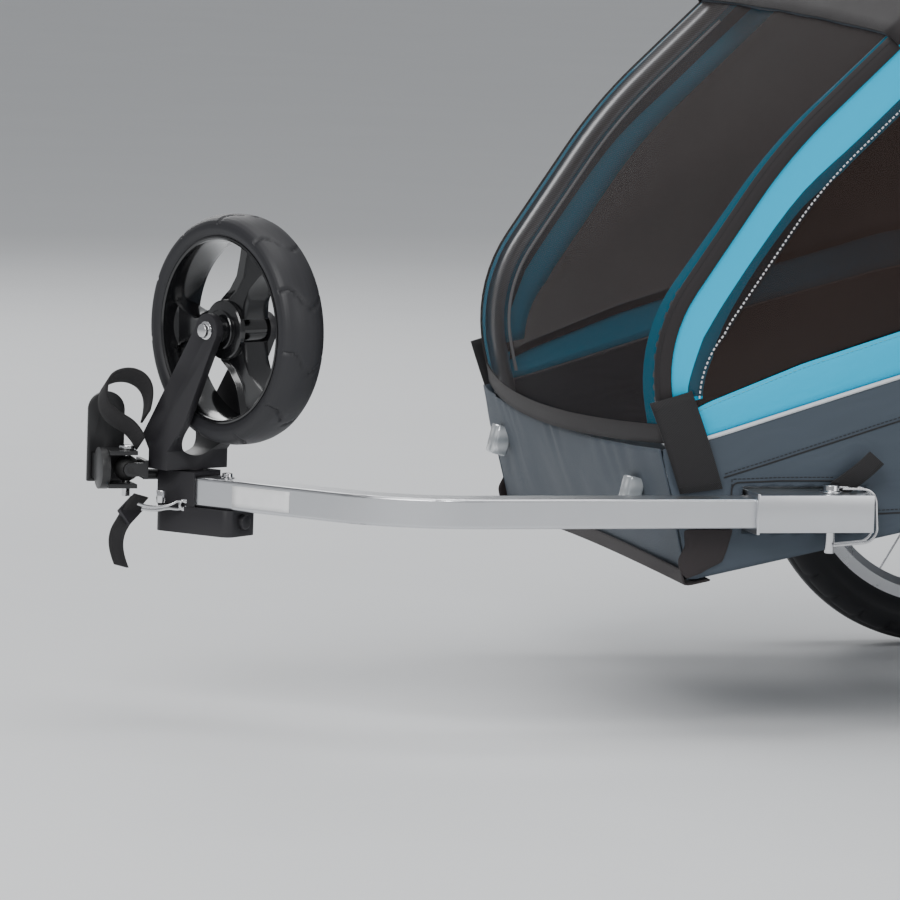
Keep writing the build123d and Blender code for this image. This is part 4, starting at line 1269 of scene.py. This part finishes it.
AS_BUILT = {
    ALUMINIUM: ("base_rails", "cross_tubes", "axle_tube", "side_hoop_left", "side_hoop_right", "roof_bars",
                "backrest_frame", "handlebar", "tow_arm"),
    RIM_ALLOY: ("rim_left", "rim_right", "hub_left", "hub_right"),
    WIRE: ("spokes_left", "spokes_right"),
    RUBBER: ("hitch_ball",),
    BRIGHT: ("pin_bail",),
}
for material, names in AS_BUILT.items():
    for node in names:
        nodes[node].data.materials.clear()
        nodes[node].data.materials.append(material)


def flat_strap(name, line, width_vector, node=None):
    """Webbing along a line of points, its width along one direction."""
    mesh = spline_mesh("route", line, 8)
    centre = [v.co.copy() for v in mesh.vertices]
    bpy.data.meshes.remove(mesh)
    rows = [[p + width_vector * (k / 4 - 0.5) for k in range(5)] for p in centre]
    make(name, rows, STRAP, "chassis", "black_webbing", None, 0.0022, 0.0, [node] if node else [])


def hitch_details():
    """Safety strap, its buckle, the snap hook and the strap's bolt."""
    loop = [mm(984, 126, 262), mm(990, 122, 276), mm(1014, 124, 288), mm(1024, 127, 304), mm(1020, 127, 324),
            mm(1000, 127, 330), mm(982, 127, 322), mm(976, 127, 304), mm(980, 126, 288)]
    flat_strap("safety_strap_loop", loop, Vector((-0.004, 0.016, 0.014)), "safety_strap")
    tail = [mm(982, 126, 212), mm(990, 128, 204), mm(998, 128, 190), mm(1006, 127, 176), mm(1006, 126, 158),
            mm(1000, 126, 144)]
    flat_strap("safety_strap_tail", tail, Vector((0.016, 0.012, 0.005)))
    bm = bmesh.new()
    bmesh.ops.create_cube(bm, size=1)
    bmesh.ops.scale(bm, vec=(0.005, 0.028, 0.018), verts=bm.verts)
    faces = [f for f in bm.faces if abs(f.normal.x) > 0.9]
    bmesh.ops.inset_region(bm, faces=faces, thickness=0.004, depth=-0.0015)
    round_edges(bm, bm.edges[:], 0.0007)
    lean = Matrix.Rotation(radians(35), 4, "Y") @ Matrix.Rotation(radians(-50), 4, "Z")
    bmesh.ops.transform(bm, matrix=Matrix.Translation(mm(993, 128, 198)) @ lean, verts=bm.verts)
    fit(finish_mesh(bm, "strap_buckle", PLASTIC), "chassis", "black_plastic")
    hook = [(990, 143, 206), (980, 144, 203), (968, 145, 203), (958, 146, 205), (951, 146, 209), (946, 146, 209),
            (940, 146, 206), (931, 146, 210), (923, 146, 211), (921, 146, 207), (925, 146, 204), (934, 146, 203),
            (941, 146, 204), (947, 146, 201), (953, 146, 201), (960, 145, 202), (974, 144, 199), (986, 143, 201)]
    hook = [mm(*p) for p in hook]
    fit(rounded_tube("snap_hook", hook, 0.0015, BRIGHT), "chassis", "bright_steel")
    ring = [mm(944 + 5 * cos(radians(a)), 146, 205 + 5 * sin(radians(a))) for a in range(0, 361, 30)]
    fit(rounded_tube("snap_hook_swivel", ring, 0.0016, BRIGHT), "chassis", "bright_steel")
    bolt = bmesh.new()
    bmesh.ops.create_cone(bolt, cap_ends=True, segments=6, radius1=0.0048, radius2=0.0048, depth=0.012)
    round_edges(bolt, bolt.edges[:], 0.0006)
    bmesh.ops.translate(bolt, vec=mm(967, 143, 213), verts=bolt.verts)
    fit(finish_mesh(bolt, "strap_bolt", BRIGHT), "chassis", "bright_steel")


def arm_label():
    """A blank white label on the arm's sloping front run."""
    bend = Vector((775, 323.5))
    end = Vector((936, 122))
    along = (end - bend).normalized()
    outward = Vector((-along.y, along.x))
    surface_off = 35.5 / 2 + 0.5
    bm = bmesh.new()
    made = bmesh.ops.create_grid(bm, x_segments=10, y_segments=4, size=0.5)
    for v in made["verts"]:
        spot = bend + along * (122 + 68 * (v.co.x + 0.5)) + outward * surface_off
        v.co = mm(spot.x, spot.y, 218 + v.co.y * 20)
    bmesh.ops.recalc_face_normals(bm, faces=bm.faces)
    label = finish_mesh(bm, "arm_label", LABEL)
    thicken(label, 0.0004, 0.0)
    fit(label, "chassis", "black_plastic")


def receiver_tab():
    """A short webbing pull behind the lock pin."""
    rows = []
    for j in range(9):
        v = j / 8
        rows.append([mm(342 - 34 * v + 14.4 * u, 312 + 14 * sin(0.6 * pi * v), 238 + 32 * v + 12 * u)
                     for u in (-0.5, -0.25, 0, 0.25, 0.5)])
    make("receiver_tab", rows, STRAP, "chassis", "black_webbing", (0, 1, 0), 0.003, 0.0)


hitch_details()
arm_label()
receiver_tab()
